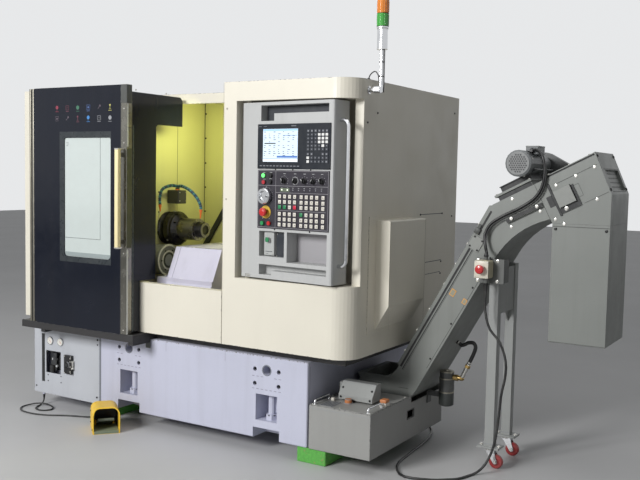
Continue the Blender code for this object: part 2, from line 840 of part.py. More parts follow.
def build_door(ink, glass, silver):
    """The sliding door: face, window, edge trim with its handle, and the return with its hood."""
    rail = SUB_TOP - 0.004 + SLIDE
    right = DOOR_LEFT + DOOR_WIDTH
    carrier = empty("door", (DOOR_LEFT, DOOR_FRONT, rail))
    shift = Matrix.Translation((-DOOR_LEFT, -DOOR_FRONT, -rail))

    def put(name, mesh, material, angle=0.0):
        mesh.transform(shift)
        made = piece(name, mesh, material, carrier)
        if angle:
            soften(made, angle)

    back = DOOR_FRONT + DOOR_SLAB
    trim_left = right - DOOR_TRIM
    face = prism(
        rounded(
            [
                (DOOR_LEFT, rail, 0.030),
                (trim_left - GAP, rail, 0),
                (trim_left - GAP, DOOR_TOP, 0),
                (DOOR_LEFT, DOOR_TOP, 0.012),
            ],
            5,
        ),
        "Y",
        DOOR_FRONT,
        back,
    )
    left = DOOR_LEFT + WINDOW_LEFT
    window = [
        (left, WINDOW_BOTTOM, 0.020),
        (DOOR_LEFT + WINDOW_RIGHT, WINDOW_BOTTOM, 0.020),
        (DOOR_LEFT + WINDOW_RIGHT, WINDOW_TOP, 0.012),
        (left, WINDOW_TOP, 0.012),
    ]
    lip = 0.014
    through = [
        (a + (lip if a == left else -lip), b + (lip if b == WINDOW_BOTTOM else -lip), r * 0.7)
        for a, b, r in window
    ]
    pane_front = DOOR_FRONT + 0.004
    face = cut(
        face,
        [
            prism(rounded(window, 3), "Y", DOOR_FRONT - 0.01, pane_front + 0.008),
            prism(rounded(through, 3), "Y", DOOR_FRONT, back + 0.01),
        ],
    )
    put("door_panel", face, ink)
    pane = [
        (a + (GAP if a == left else -GAP), b + (GAP if b == WINDOW_BOTTOM else -GAP), r)
        for a, b, r in window
    ]
    put("door_window", prism(rounded(pane, 3), "Y", pane_front, pane_front + 0.008 - GAP), glass)

    edge = prism(
        [
            (trim_left, DOOR_FRONT),
            (trim_left + 0.004, DOOR_FRONT - 0.003),
            (right - 0.003, DOOR_FRONT - 0.003),
            (right, DOOR_FRONT),
            (right, back),
            (trim_left, back),
        ],
        "Z",
        rail + 0.004,
        DOOR_TOP,
    )
    grip_x = trim_left + 0.014
    edge = merge(
        edge,
        [
            prism(
                rounded(
                    [
                        (grip_x - 0.011, DOOR_FRONT - 0.046, 0.006),
                        (grip_x + 0.011, DOOR_FRONT - 0.046, 0.006),
                        (grip_x + 0.011, DOOR_FRONT - 0.024, 0.006),
                        (grip_x - 0.011, DOOR_FRONT - 0.024, 0.006),
                    ],
                    2,
                ),
                "Z",
                GRIP_BOTTOM,
                GRIP_TOP,
            ),
            block(
                (grip_x - 0.008, DOOR_FRONT - 0.030, GRIP_BOTTOM + 0.02),
                (grip_x + 0.008, DOOR_FRONT, GRIP_BOTTOM + 0.04),
            ),
            block(
                (grip_x - 0.008, DOOR_FRONT - 0.030, GRIP_TOP - 0.04),
                (grip_x + 0.008, DOOR_FRONT, GRIP_TOP - 0.02),
            ),
        ],
    )
    put("door_edge", edge, silver)

    inside = right - RETURN_SHEET
    low_rear = -0.006
    start = back + GAP
    sheet = prism(
        [
            (start, rail + 0.010),
            (low_rear, rail + 0.010),
            (low_rear, SILL_TOP + 0.006),
            (RETURN_REAR, SILL_TOP + 0.006),
            (RETURN_REAR, ARM_BOTTOM - 0.012),
            (RETURN_REAR + 0.012, ARM_BOTTOM),
            (ARM_REAR, ARM_BOTTOM),
            (ARM_REAR, RETURN_TOP - 0.018),
            (ARM_REAR - 0.018, RETURN_TOP),
            (start, RETURN_TOP),
        ],
        "X",
        inside,
        right,
    )
    hood = block(
        (DOOR_LEFT + 0.004, start, RETURN_TOP - HOOD_SHEET), (right - 0.001, ARM_REAR - 0.018, RETURN_TOP)
    )
    stile = block((inside - 0.10, start, rail + 0.010), (right - 0.001, start + 0.008, RETURN_TOP - 0.001))
    put("door_return", merge(sheet, [hood, stile]), ink)


def build_panel(frame_grey, ink, panel_grey, chrome, black, red, green):
    """The swivelling operator panel with its screen unit, switches, handwheel and buttons."""
    arm = empty("panel_swivel", (HINGE_X, HINGE_Y, PANEL_BOTTOM), None, PANEL_ANGLE)
    left = -HINGE_FROM_LEFT
    front = -HINGE_FROM_FRONT
    right = left + PANEL_WIDTH
    back = front + PANEL_DEPTH
    height = PANEL_TOP - PANEL_BOTTOM

    def x(along):
        return left + along

    def z(level):
        return level - PANEL_BOTTOM

    case = prism(
        rounded([(left, front, 0.004), (right, front, 0.010), (right, back, 0.012), (left, back, 0.004)], 2),
        "Z",
        0.0,
        height,
    )
    ahead = front - 0.02
    cutters = [
        prism(
            [
                (x(0.110), z(1.541)),
                (x(0.187), z(1.541)),
                (x(0.187), z(1.574)),
                (x(0.493), z(1.574)),
                (x(0.493), z(1.611)),
                (x(0.110), z(1.611)),
            ],
            "Y",
            ahead,
            front + 0.045,
        ),
        block((x(0.108), ahead, z(0.930)), (x(0.256), front + 0.050, z(1.045))),
        block((x(0.272), ahead, z(0.910)), (x(0.494), front + 0.075, z(1.046))),
        prism(
            [
                (x(0.109), z(0.846)),
                (x(0.182), z(0.846)),
                (x(0.182), z(0.866)),
                (x(0.493), z(0.866)),
                (x(0.493), z(0.893)),
                (x(0.109), z(0.893)),
            ],
            "Y",
            ahead,
            front + 0.045,
        ),
    ]
    case = cut(case, cutters)
    floor = front + 0.050
    case = merge(
        case,
        [
            block((x(0.124), front + 0.018, z(0.934)), (x(0.183), floor + 0.002, z(1.041)), 0.002, 1),
            drum(0.011, "Y", (x(0.153), 0, z(1.006)), front + 0.004, floor, 14),
            block((x(0.191), front + 0.026, z(0.929)), (x(0.251), floor + 0.002, z(1.038)), 0.003, 1),
        ],
    )
    piece("panel_case", case, frame_grey, arm)

    seat = front - GAP
    unit = block((x(0.094), seat - PROUD, z(1.327)), (x(0.508), seat, z(1.5265)), 0.0015, 1)
    screen = block((x(0.125), seat - PROUD - 0.01, z(1.358)), (x(0.328), seat - PROUD + 0.002, z(1.505)))
    unit = cut(unit, [screen])
    pad = block((x(0.378), seat - PROUD - 0.001, z(1.352)), (x(0.499), seat - 0.001, z(1.502)))
    unit = merge(unit, [pad])
    piece("display_unit", unit, ink, arm)

    face = seat - PROUD
    plate = block((x(0.098), face, z(1.058)), (x(0.505), seat, z(1.3215)), 0.0015, 1)
    columns = [0.2325 + 0.0288 * i for i in range(4)] + [0.3555 + 0.0287 * i for i in range(4)] + [0.4755]
    rows = (1.205, 1.1810, 1.158, 1.1270, 1.1030, 1.0795)
    keys = []
    for level in rows:
        for along in columns:
            keys.append(
                block(
                    (x(along) - 0.0085, face - 0.003, z(level) - 0.0085),
                    (x(along) + 0.0085, face + 0.001, z(level) + 0.0085),
                )
            )
    for along, level in ((0.138, 1.2665), (0.177, 1.2975), (0.175, 1.2685), (0.136, 1.2965)):
        keys.append(drum(0.009, "Y", (x(along), 0, z(level)), face - 0.008, face + 0.001, 8))
    plate = merge(plate, [join_all(keys)])
    bores = [
        drum(radius + BORE_PLAY, "Y", (x(along), 0, z(level)), face - 0.01, seat + 0.001, 18)
        for _, along, level, radius, _, _ in PANEL_BUTTONS
    ]
    piece("switch_panel", cut(plate, [join_all(bores)]), panel_grey, arm)

    on_face = face - GAP
    wheel = turned(
        [
            (0.0, 0.030),
            (-0.006, 0.036),
            (-0.020, 0.036),
            (-0.024, 0.032),
            (-0.024, 0.024),
            (-0.014, 0.020),
            (-0.014, 0.0),
        ],
        "Y",
        (0, 0, 0),
        20,
    )
    grip = drum(0.006, "Y", (0.022, 0, 0), -0.036, -0.012, 10)
    wheel = merge(wheel, [grip])
    soften(
        piece("handwheel", wheel, chrome, empty("handwheel_axis", (x(0.1500), on_face, z(1.2035)), arm)), 30
    )

    for index, along in enumerate((0.2560, 0.3170, 0.3700, 0.4175, 0.4660)):
        knob = merge(
            turned([(0, 0.0125), (-0.004, 0.0125), (-0.006, 0.010), (-0.014, 0.009)], "Y", (0, 0, 0), 14),
            [block((-0.0025, -0.021, -0.0115), (0.0025, -0.002, 0.0115))],
        )
        axis = empty(f"selector_axis_{index + 1}", (x(along), on_face, z(1.2755)), arm)
        piece(f"selector_knob_{index + 1}", knob, black, axis)

    colours = {"red": red, "green": green}
    for name, along, level, radius, head, colour in PANEL_BUTTONS:
        axis = empty(name + "_axis", (x(along), on_face, z(level)), arm)
        button = turned([(STEM_IN, radius), *head, (head[-1][0], 0.0)], "Y", (0, 0, 0), 18)
        soften(piece(name, button, colours[colour], axis), 30)

    reach = 0.040
    side = right + GAP
    depth = front + 0.047
    top = z(1.540)
    foot = z(0.910)
    bend = 0.028
    path = [(side, depth, top)]
    path += [(a, depth, b) for a, b in arc((right + reach - bend, top - bend), bend, 90, 0, 5)]
    path += [(a, depth, b) for a, b in arc((right + reach - bend, foot + bend), bend, 0, -90, 5)]
    path.append((side, depth, foot))
    tube("panel_handle", path, 0.009, chrome, arm, 2)


def join_all(meshes):
    """Separate closed meshes as one mesh, for use as one Boolean tool."""
    work = bmesh.new()
    for mesh in meshes:
        work.from_mesh(mesh)
    mesh = bpy.data.meshes.new("group")
    work.to_mesh(mesh)
    work.free()
    return mesh


def build_lamp(chrome, green, amber):
    """The signal lamp on its pole, held by a bracket on the body's right side."""
    wall = BODY_RIGHT + GAP
    arm_y = CORNER_RADIUS + 0.021
    arm_z = BODY_TOP - 0.047
    x = BODY_RIGHT + 0.047
    y = arm_y + 0.024
    pole_top = arm_z + 0.173
    tube_top = pole_top + 0.097
    pole = merge(
        drum(0.0095, "Z", (x, y, 0), arm_z + 0.001, pole_top, 14),
        [
            drum(0.017, "X", (0, arm_y, arm_z), wall, wall + 0.004, 16),
            drum(0.010, "X", (0, arm_y, arm_z), wall + 0.003, x - 0.016, 12),
            drum(0.0155, "X", (0, arm_y, arm_z), x - 0.019, x + 0.011, 14, 0.001),
            drum(0.012, "Z", (x, y, 0), arm_z - 0.010, arm_z + 0.025, 14, 0.001),
            turned(
                [
                    (pole_top - 0.003, 0.012),
                    (pole_top, 0.023),
                    (tube_top - 0.010, 0.023),
                    (tube_top - 0.006, 0.026),
                    (tube_top, 0.026),
                ],
                "Z",
                (x, y, 0),
                16,
            ),
        ],
    )
    soften(piece("lamp_pole", pole, chrome), 30)
    low = tube_top + GAP
    step = 0.056
    for index, (name, material) in enumerate((("lamp_green", green), ("lamp_amber", amber))):
        start = low + index * (step + GAP)
        end = start + step
        profile = [(start, 0.0245), (start + 0.003, 0.026), (end - 0.003, 0.026), (end, 0.0245)]
        if index:
            profile += [(end, 0.0265), (end + 0.012, 0.0265), (end + 0.020, 0.022), (end + 0.023, 0.0)]
        soften(piece(name, turned(profile, "Z", (x, y, 0), 16), material), 30)


def build_tank(grey, light):
    """The coolant tank under the right end, its lid with two handles, and the pump cover."""
    wall = TANK_WALL
    shell = block((TANK_LEFT, TANK_FRONT, TANK_BOTTOM), (TANK_RIGHT, TANK_REAR, TANK_TOP), 0.002, 1)
    hollow = block(
        (TANK_LEFT + wall, TANK_FRONT + wall, TANK_BOTTOM + wall), (
            TANK_RIGHT - wall, TANK_REAR - wall, TANK_TOP + 0.1
        )
    )
    notch = block(
        (TANK_RIGHT - 0.02, CONVEYOR_FRONT - RUN, TANK_TOP - 0.030),
        (TANK_RIGHT + 0.02, CONVEYOR_FRONT + CONVEYOR_WIDTH + RUN, TANK_TOP + 0.02),
    )
    sight = block((TANK_RIGHT - 0.02, 0.408, 0.172), (TANK_RIGHT + 0.02, 0.478, 0.208))
    saddle = [
        block((TANK_LEFT + 0.002, y, TANK_BOTTOM + 0.002), (TANK_RIGHT - 0.10, y + 0.012, TAIL_BOTTOM - GAP))
        for y in (CONVEYOR_FRONT + 0.04, CONVEYOR_FRONT + CONVEYOR_WIDTH - 0.052)
    ]
    shell = merge(cut(shell, [hollow, notch, sight]), saddle)
    piece("coolant_tank", shell, grey)

    top = TANK_TOP + GAP
    lid = block((TANK_LEFT + 0.004, TANK_FRONT + 0.004, top), (TANK_RIGHT - 0.003, LID_REAR, top + 0.003))
    rims = []
    for x in (TANK_LEFT + 0.022, TANK_RIGHT - 0.021):
        y0 = TANK_FRONT + 0.014
        y1 = TANK_FRONT + 0.140
        bend = 0.012
        middle = 0.023 - bend
        path = [(x, y0, top + 0.001)]
        path += [(x, y, top + b) for y, b in arc((y0 + bend, middle), bend, 180, 90, 4)]
        path += [(x, y, top + b) for y, b in arc((y1 - bend, middle), bend, 90, 0, 4)]
        path += [(x, y1, top + 0.001)]
        rims.append(tube_mesh(path, 0.0045, 1))
    rims.append(
        block((TANK_RIGHT - 0.035, 0.190, top + 0.001), (TANK_RIGHT - 0.005, 0.228, top + 0.033), 0.003, 1)
    )
    rims.append(drum(0.016, "Z", (TANK_LEFT + 0.138, 0.155, 0), top + 0.001, top + 0.023, 14))
    piece("tank_lid", merge(lid, rims), grey)

    seat = top + 0.003 + GAP
    left = TANK_LEFT + 0.072
    right = TANK_RIGHT - 0.068
    profile = [(0.180, 0.283), (0.180, 0.305), (0.220, 0.360), (0.262, 0.360), (0.262, 0.283)]
    hood = prism(profile, "X", left, right)
    foot = block((left + 0.022, 0.200, seat), (right - 0.022, 0.258, 0.290))
    side = block((left - 0.023, 0.225, seat), (left + 0.022, 0.258, 0.350), 0.003, 1)
    piece("pump_cover", merge(hood, [foot, side]), light)


def rise_direction():
    angle = math.radians(RISE_ANGLE)
    return Vector((math.cos(angle), math.sin(angle)))


def head_direction():
    angle = math.radians(HEAD_ANGLE)
    return Vector((math.cos(angle), math.sin(angle)))


def conveyor_lines():
    """The corner points of the conveyor's side outline, worked out from its two slopes."""
    up = rise_direction()
    across = Vector((-up.y, up.x))
    head = head_direction()
    head_across = Vector((-head.y, head.x))
    low = Vector((RISE_START_X, RISE_START_Z))
    top_line = low + across * RISE_DEPTH
    head_low = Vector((HEAD_LEFT_X, HEAD_LEFT_Z))
    head_top = head_low + head_across * HEAD_DEPTH
    # where the two top lines cross
    gap = head_top - top_line
    reach = (gap.x * head.y - gap.y * head.x) / (up.x * head.y - up.y * head.x)
    knee = top_line + up * reach
    return up, across, head, head_across, low, top_line, head_low, head_top, knee


def build_conveyor(steel, dark, motor_grey):
    """The inclined chip conveyor with its head, discharge chute, drive, filter and stop box."""
    up, across, head, head_across, low, top_line, head_low, head_top, knee = conveyor_lines()
    front = CONVEYOR_FRONT
    rear = front + CONVEYOR_WIDTH

    # the bend between the level tail and the slope touches both lines
    bend_z = TAIL_BOTTOM + TAIL_BEND
    bend_x = RISE_START_X + ((bend_z - RISE_START_Z) * up.x - TAIL_BEND) / up.y
    tail_bend = arc((bend_x, bend_z), TAIL_BEND, -90, -90 + RISE_ANGLE, 6)
    # the elbow's underside leaves the slope along it and ends at the head's lower corner
    elbow_low = low + up * RISE_LENGTH
    chord = head_low - elbow_low
    half_turn = RISE_ANGLE - math.degrees(math.atan2(chord.y, chord.x))
    radius = chord.length / (2 * math.sin(math.radians(half_turn)))
    elbow_centre = elbow_low - across * radius
    elbow = arc(elbow_centre, radius, 90 + RISE_ANGLE, 90 + RISE_ANGLE - 2 * half_turn, 8)
    inner = Vector((TANK_RIGHT - 0.075, 0.402))
    outline = [(TAIL_LEFT, TAIL_BOTTOM)]
    outline += tail_bend
    outline += elbow
    outline += [(head_top.x, head_top.y), (knee.x, knee.y)]
    outline += [(inner.x, inner.y), (inner.x - 0.036, inner.y - 0.046), (inner.x - 0.05, TAIL_TOP)]
    outline += [(TAIL_LEFT, TAIL_TOP)]
    body = prism(outline, "Y", front, rear)
    hopper = prism(
        [
            (TAIL_LEFT + 0.004, TAIL_TOP - 0.012),
            (TAIL_LEFT + 0.004, TAIL_TOP + 0.010),
            (TAIL_LEFT - 0.010, TAIL_TOP + 0.030),
            (inner.x - 0.040, TAIL_TOP + 0.030),
            (inner.x - 0.050, TAIL_TOP - 0.012),
        ],
        "Y",
        front + 0.004,
        rear - 0.004,
    )
    trough = block(
        (TAIL_LEFT + 0.020, front + 0.020, TAIL_BOTTOM + 0.030),
        (inner.x - 0.070, rear - 0.020, TAIL_TOP + 0.2),
    )
    body = cut(merge(body, [hopper]), [trough])

    # lid along the slope, standing proud of the side plates
    lid_low = inner + up * 0.010 - across * 0.002
    lid_high = top_line + up * ((knee - top_line).length - 0.004) - across * 0.002
    lid = prism(
        [
            tuple(lid_low),
            tuple(lid_low + across * 0.014),
            tuple(lid_high + across * 0.014 - up * 0.008),
            tuple(lid_high),
        ],
        "Y",
        front + 0.003,
        rear - 0.003,
    )

    def at(along, level):
        """A point in the head's own directions from its lower left corner."""
        return head_low + head * along + head_across * level

    def panel(along, level, low_y, high_y):
        """A plate square to the head's directions, over two ranges, between two depths."""
        corners = [(along[0], level[0]), (along[1], level[0]), (along[1], level[1]), (along[0], level[1])]
        return prism([tuple(at(*corner)) for corner in corners], "Y", low_y, high_y)

    # take-up bar with its two bolt heads, along the lower edge of the knee
    bar = panel((-0.178, -0.004), (0.062, 0.080), front - 0.012, front + 0.001)
    bolts = []
    for along in (-0.150, -0.025):
        spot = at(along, 0.071)
        bolts.append(drum(0.006, "Y", (spot.x, 0, spot.y), front - 0.018, front - 0.010, 8))
    # flat lid over the knee, on a narrower seat
    seat = panel((-0.172, -0.010), (HEAD_DEPTH - 0.004, STRIP_BOTTOM + 0.001), front + 0.008, rear - 0.008)
    strip = panel((-0.184, -0.005), (STRIP_BOTTOM, STRIP_TOP), front, rear)
    piece("conveyor_body", merge(body, [lid, bar, seat, strip] + bolts), steel)

    # head housing, ending in a sloped face with a recessed window
    a = head_low + head * GAP
    b = head_top + head * GAP
    cap = (HEAD_LENGTH - 0.006, HEAD_DEPTH + END_CAP_RISE)
    end_top = at(HEAD_LENGTH, HEAD_DEPTH + END_CAP_RISE)
    end_low = end_top - head_across * END_FACE - head * 0.0116
    outline = [
        (a.x, a.y),
        (b.x, b.y),
        tuple(at(cap[0], HEAD_DEPTH)),
        tuple(at(*cap)),
        (end_top.x, end_top.y),
        (end_low.x, end_low.y),
        (end_low.x, CHUTE_TOP + GAP),
        (a.x + 0.010, CHUTE_TOP + GAP),
    ]
    housing = prism(outline, "Y", front, rear)
    across_face = (end_low - end_top).normalized()
    out_of_face = Vector((-across_face.y, across_face.x))
    recess = prism(
        [
            tuple(end_top + across_face * 0.080 + out_of_face * 0.02),
            tuple(end_top + across_face * 0.080 - out_of_face * 0.012),
            tuple(end_top + across_face * 0.174 - out_of_face * 0.012),
            tuple(end_top + across_face * 0.174 + out_of_face * 0.02),
        ],
        "Y",
        front + 0.056,
        rear - 0.034,
    )
    hollow = block(
        (a.x + 0.010 + SHEET, front + SHEET, CHUTE_TOP - 0.1), (
            end_low.x - SHEET, rear - SHEET, CHUTE_TOP + 0.050
        )
    )
    housing = cut(housing, [recess, hollow])
    # bearing plate on its backing, on both sides, and the lid's raised top sheet
    plates = []
    for face, out, proud in ((front, -1, 0.016), (rear, 1, 0.010)):
        for along, level, step in (
            ((0.058, 0.150), (-0.002, 0.096), 0.004),
            ((0.062, 0.138), (0.024, 0.099), proud),
        ):
            depths = sorted((face + out * step, face - out * 0.001))
            plates.append(panel(along, level, *depths))
    neck = panel((0.060, 0.276), (HEAD_DEPTH - 0.004, HEAD_DEPTH + 0.008), front + 0.006, rear - 0.006)
    top_rim = panel((0.050, 0.280), (HEAD_DEPTH + 0.007, HEAD_DEPTH + 0.011), front, rear)
    plates.append(neck)
    housing = merge(housing, plates + [top_rim])
    piece("conveyor_head", housing, steel)

    chute = block((a.x + 0.010, front, CHUTE_BOTTOM), (end_low.x, rear, CHUTE_TOP))
    bore = block(
        (a.x + 0.010 + SHEET, front + SHEET, CHUTE_BOTTOM - 0.1), (
            end_low.x - SHEET, rear - SHEET, CHUTE_TOP + 0.1
        )
    )
    piece("discharge_chute", cut(chute, [bore]), steel)

    # drive: motor along Y over the knee, with its terminal box, gearbox and foot
    motor_x = HEAD_LEFT_X - 0.139
    motor_z = HEAD_LEFT_Z + 0.236
    motor = turned(
        [
            (0.415, 0.050),
            (0.420, 0.058),
            (0.462, 0.058),
            (0.464, 0.053),
            (0.600, 0.053),
            (0.604, 0.062),
            (0.618, 0.062),
            (0.622, 0.050),
            (0.700, 0.046),
            (0.760, 0.040),
        ],
        "Y",
        (motor_x, 0, motor_z),
        20,
    )
    fins = []
    for i in range(10):
        angle = math.radians(18 + 36 * i)
        fin = block((-0.0015, 0.468, 0.050), (0.0015, 0.596, 0.059))
        fin.transform(Matrix.Translation((motor_x, 0, motor_z)) @ Matrix.Rotation(angle, 4, "Y"))
        fins.append(fin)
    grille = []
    for ring, count in ((0.015, 6), (0.034, 12)):
        for i in range(count):
            angle = 2 * math.pi * i / count
            spot = (motor_x + ring * math.cos(angle), 0, motor_z + ring * math.sin(angle))
            grille.append(drum(0.0048, "Y", spot, 0.40, 0.422, 6))
    motor = cut(motor, [join_all(grille)])
    box = block(
        (motor_x + 0.004, 0.500, motor_z + 0.040), (motor_x + 0.062, 0.590, motor_z + 0.076), 0.004, 1
    )
    base = [
        panel((-0.152, 0.033), (MOTOR_PLATE_BOTTOM, MOTOR_PLATE_TOP), 0.466, 0.700),
        panel((-0.052, 0.018), (MOTOR_PLATE_TOP - 0.001, MOTOR_PLATE_TOP + 0.020), 0.490, 0.596),
        panel((-0.140, -0.010), (STRIP_TOP + GAP, MOTOR_PLATE_BOTTOM + 0.001), 0.482, 0.502),
        panel((-0.140, -0.010), (STRIP_TOP + GAP, MOTOR_PLATE_BOTTOM + 0.001), 0.660, 0.680),
    ]
    motor = merge(motor, fins + [box] + base)
    soften(piece("drive_motor", motor, motor_grey), 25)

    shaft = head_low + Vector((0.070, 0.133))
    near = Vector((motor_x, motor_z))
    line = (shaft - near).normalized()
    tilt = math.degrees(math.atan2(line.y, line.x))
    guard = arc((near.x, near.y), 0.058, tilt + 90, tilt + 270, 8)
    guard += arc((shaft.x, shaft.y), 0.050, tilt - 90, tilt + 90, 8)
    guard = prism(guard, "Y", rear + 0.014 + GAP, rear + 0.056)
    hub = drum(0.030, "Y", (shaft.x, 0, shaft.y), rear + 0.054, rear + 0.066, 16)
    neck = drum(0.024, "Y", (motor_x, 0, motor_z), 0.760 + GAP, rear + 0.02, 14)
    piece("chain_guard", merge(guard, [hub, neck]), dark)


def build_stand(light, red, chrome, cream):
    """The conveyor's legs on two swivel casters, with the stop box on its plate."""
    up, across, head, head_across, low, top_line, head_low, head_top, knee = conveyor_lines()
    left = LEG_X - LEG_SIZE / 2
    right = left + LEG_SIZE

    def under(x):
        """Height of the conveyor's underside at a place along X."""
        return low.y + (x - low.x) * up.y / up.x

    legs = []
    leg_top = under(left) - GAP * 3
    for y in (LEG_FRONT_Y, LEG_REAR_Y):
        legs.append(
            prism(
                [
                    (left, LEG_BOTTOM),
                    (right, LEG_BOTTOM),
                    (right, leg_top),
                    (left, leg_top),
                ],
                "Y",
                y,
                y + LEG_SIZE,
            )
        )
        legs.append(
            block(
                (left - 0.030, y - 0.016, LEG_BOTTOM - 0.006),
                (right + 0.030, y + LEG_SIZE + 0.016, LEG_BOTTOM + 0.002),
            )
        )
    far = LEG_REAR_Y + 0.002
    near = LEG_FRONT_Y + LEG_SIZE - 0.002
    legs.append(block((left + 0.004, near, 0.700), (right - 0.004, far, 0.752)))
    legs.append(block((right - 0.010, near, 0.752 - 0.002), (right - 0.004, far, leg_top - 0.01)))
    legs.append(
        prism(
            [(far, 0.702), (far, 0.640), (far - 0.060, 0.702)],
            "X",
            left + 0.010,
            left + 0.016,
        )
    )
    frame = merge(legs[0], legs[1:])
    piece("conveyor_legs", frame, light)

    plate_y = 0.418
    outer = LEG_X + 0.055
    plate = merge(
        block((LEG_X - 0.069, plate_y, 0.842), (outer, plate_y + 0.004, 0.951)),
        [
            block((outer - 0.020, plate_y + 0.001, 0.846), (outer, LEG_FRONT_Y - 0.001, 0.947)),
            block((right + GAP, plate_y + 0.010, 0.846), (outer, LEG_FRONT_Y + 0.030, 0.947)),
            block((LEG_X - 0.059, STOP_BOX_FRONT, 0.868), (LEG_X + 0.006, plate_y + 0.002, 0.945), 0.004, 1),
            drum(0.010, "Z", (LEG_X - 0.015, 0.388, 0), 0.846, 0.870, 12),
            drum(0.008, "Z", (LEG_X - 0.017, 0.388, 0), 0.944, 0.962, 12),
        ],
    )
    button_x = LEG_X - 0.0265
    button_z = 0.909
    radius = MUSHROOM[0][1]
    bore = drum(
        radius + BORE_PLAY, "Y", (button_x, 0, button_z), STOP_BOX_FRONT - 0.01, STOP_BOX_FRONT + 0.005, 18
    )
    piece("stop_box", cut(plate, [bore]), cream)
    button = turned([(STEM_IN, radius), *MUSHROOM, (MUSHROOM[-1][0], 0.0)], "Y", (0, 0, 0), 18)
    axis = empty("conveyor_stop_axis", (button_x, STOP_BOX_FRONT - GAP, button_z))
    soften(piece("conveyor_stop_button", button, red, axis), 30)

    for name, y in (("front", LEG_FRONT_Y + LEG_SIZE / 2), ("rear", LEG_REAR_Y + LEG_SIZE / 2)):
        swivel = empty(f"caster_{name}", (LEG_X, y, LEG_BOTTOM - 0.006 - GAP))
        drop = WHEEL_RADIUS - (LEG_BOTTOM - 0.006 - GAP)
        half = WHEEL_WIDTH / 2 + 0.003
        crown = drum(0.022, "Z", (0, 0, 0), -0.010, 0.0, 16)
        cheeks = []
        for side in (-1, 1):
            y0 = side * half
            y1 = side * (half + 0.003)
            cheeks.append(
                prism(
                    rounded(
                        [
                            (-0.018, -0.006, 0),
                            (0.022, -0.006, 0),
                            (CASTER_TRAIL + 0.011, drop - 0.004, 0.006),
                            (CASTER_TRAIL - 0.004, drop - 0.012, 0.006),
                        ],
                        2,
                    ),
                    "Y",
                    min(y0, y1),
                    max(y0, y1),
                )
            )
        axle = drum(0.004, "Y", (CASTER_TRAIL, 0, drop), -half - 0.006, half + 0.006, 10)
        piece(f"caster_fork_{name}", merge(crown, cheeks + [axle]), chrome, swivel)
        hub = empty(f"caster_axle_{name}", (CASTER_TRAIL, 0, drop), swivel)
        r = WHEEL_RADIUS
        w = WHEEL_WIDTH / 2
        wheel = turned(
            [
                (-w, 0.0045),
                (-w, r * 0.60),
                (-w + 0.001, r - 0.004),
                (-w + 0.005, r),
                (w - 0.005, r),
                (w - 0.001, r - 0.004),
                (w, r * 0.60),
                (w, 0.0045),
                (-w, 0.0045),
            ],
            "Y",
            (0, 0, 0),
            20,
        )
        soften(piece(f"caster_wheel_{name}", wheel, red, hub), 30)


def build_filter(dark, black):
    """The filter on the tank's side, and its short hose to the conveyor."""
    x = TANK_RIGHT + 0.095
    y = 0.640
    arm = TANK_RIGHT + GAP
    pipe = Vector((0.037, 0.0, 0.0792)).normalized()
    pipe_top = Vector((x + 0.110, y, 0.420))
    head = merge(
        block((arm, y - 0.020, 0.205), (arm + 0.006, y + 0.020, 0.262)),
        [
            block((arm + 0.001, y - 0.012, 0.242), (x, y + 0.012, 0.262)),
            drum(0.034, "Z", (x, y, 0), 0.335, 0.372, 16, 0.004),
            drum(0.011, "X", (0, y, 0.345), x, x + 0.081, 10),
            drum(0.015, "X", (0, y, 0.345), x + 0.036, x + 0.058, 6),
            tube_mesh([pipe_top - pipe * 0.086, pipe_top], 0.010, 2),
            drum(0.036, "Z", (x, y, 0), 0.205, 0.340, 16, 0.006),
        ],
    )
    soften(piece("coolant_filter", head, dark), 30)
    meet_x = TANK_RIGHT + 0.142
    meet_z = RISE_START_Z + (meet_x - RISE_START_X) * math.tan(math.radians(RISE_ANGLE))
    meet = Vector((meet_x, y, meet_z))
    away = Vector((math.sin(math.radians(RISE_ANGLE)), 0.0, -math.cos(math.radians(RISE_ANGLE))))
    route = [pipe_top + pipe * step for step in (GAP, 0.010, 0.020)]
    route += [
        (x + 0.135, y, 0.478),
        (x + 0.141, y, 0.505),
        (x + 0.130, y, 0.523),
        (x + 0.103, y, 0.5205),
        (x + 0.085, y, 0.5095),
        (x + 0.0714, y, 0.5059),
    ]
    route += [meet + away * step for step in (0.018, 0.009, GAP)]
    tube("filter_hose", smooth_path(route, 26), 0.009, black, None, 2)


def build_cables(black):
    """The motor cable, held along the conveyor's side, and the two free cords."""
    side = CONVEYOR_FRONT - 0.013
    box_x = LEG_X - 0.017
    route = [
        (HEAD_LEFT_X - 0.105, 0.494, 1.428),
        (HEAD_LEFT_X - 0.074, 0.470, 1.430),
        (HEAD_LEFT_X - 0.042, 0.440, 1.405),
        (HEAD_LEFT_X - 0.028, side, 1.350),
        (HEAD_LEFT_X - 0.035, side, 1.280),
        (HEAD_LEFT_X - 0.066, side, 1.225),
        (HEAD_LEFT_X - 0.132, side, 1.178),
        (HEAD_LEFT_X - 0.207, side, 1.140),
        (HEAD_LEFT_X - 0.262, side - 0.004, 1.100),
        (box_x - 0.025, side - 0.010, 1.050),
        (box_x - 0.014, side - 0.024, 1.000),
        (box_x, 0.388, 0.984),
        (box_x, 0.388, 0.973),
        (box_x, 0.388, 0.962 + GAP),
    ]
    tube("motor_cable", smooth_path(route, 40), 0.0065, black, None, 2)
    lead = [(BASE_WIDTH + x, y, z) for x, y, z in LEAD_ROUTE]
    for name, points, radius, count in (
        ("conveyor_lead", lead, LEAD_RADIUS, 78),
        ("pedal_cord", PEDAL_CORD_ROUTE, PEDAL_CORD_RADIUS, 78),
    ):
        path = smooth_path(points, count)
        for point in path:
            point.z = max(point.z, radius + FLOOR)
        tube(name, path, radius, black, None, 2)


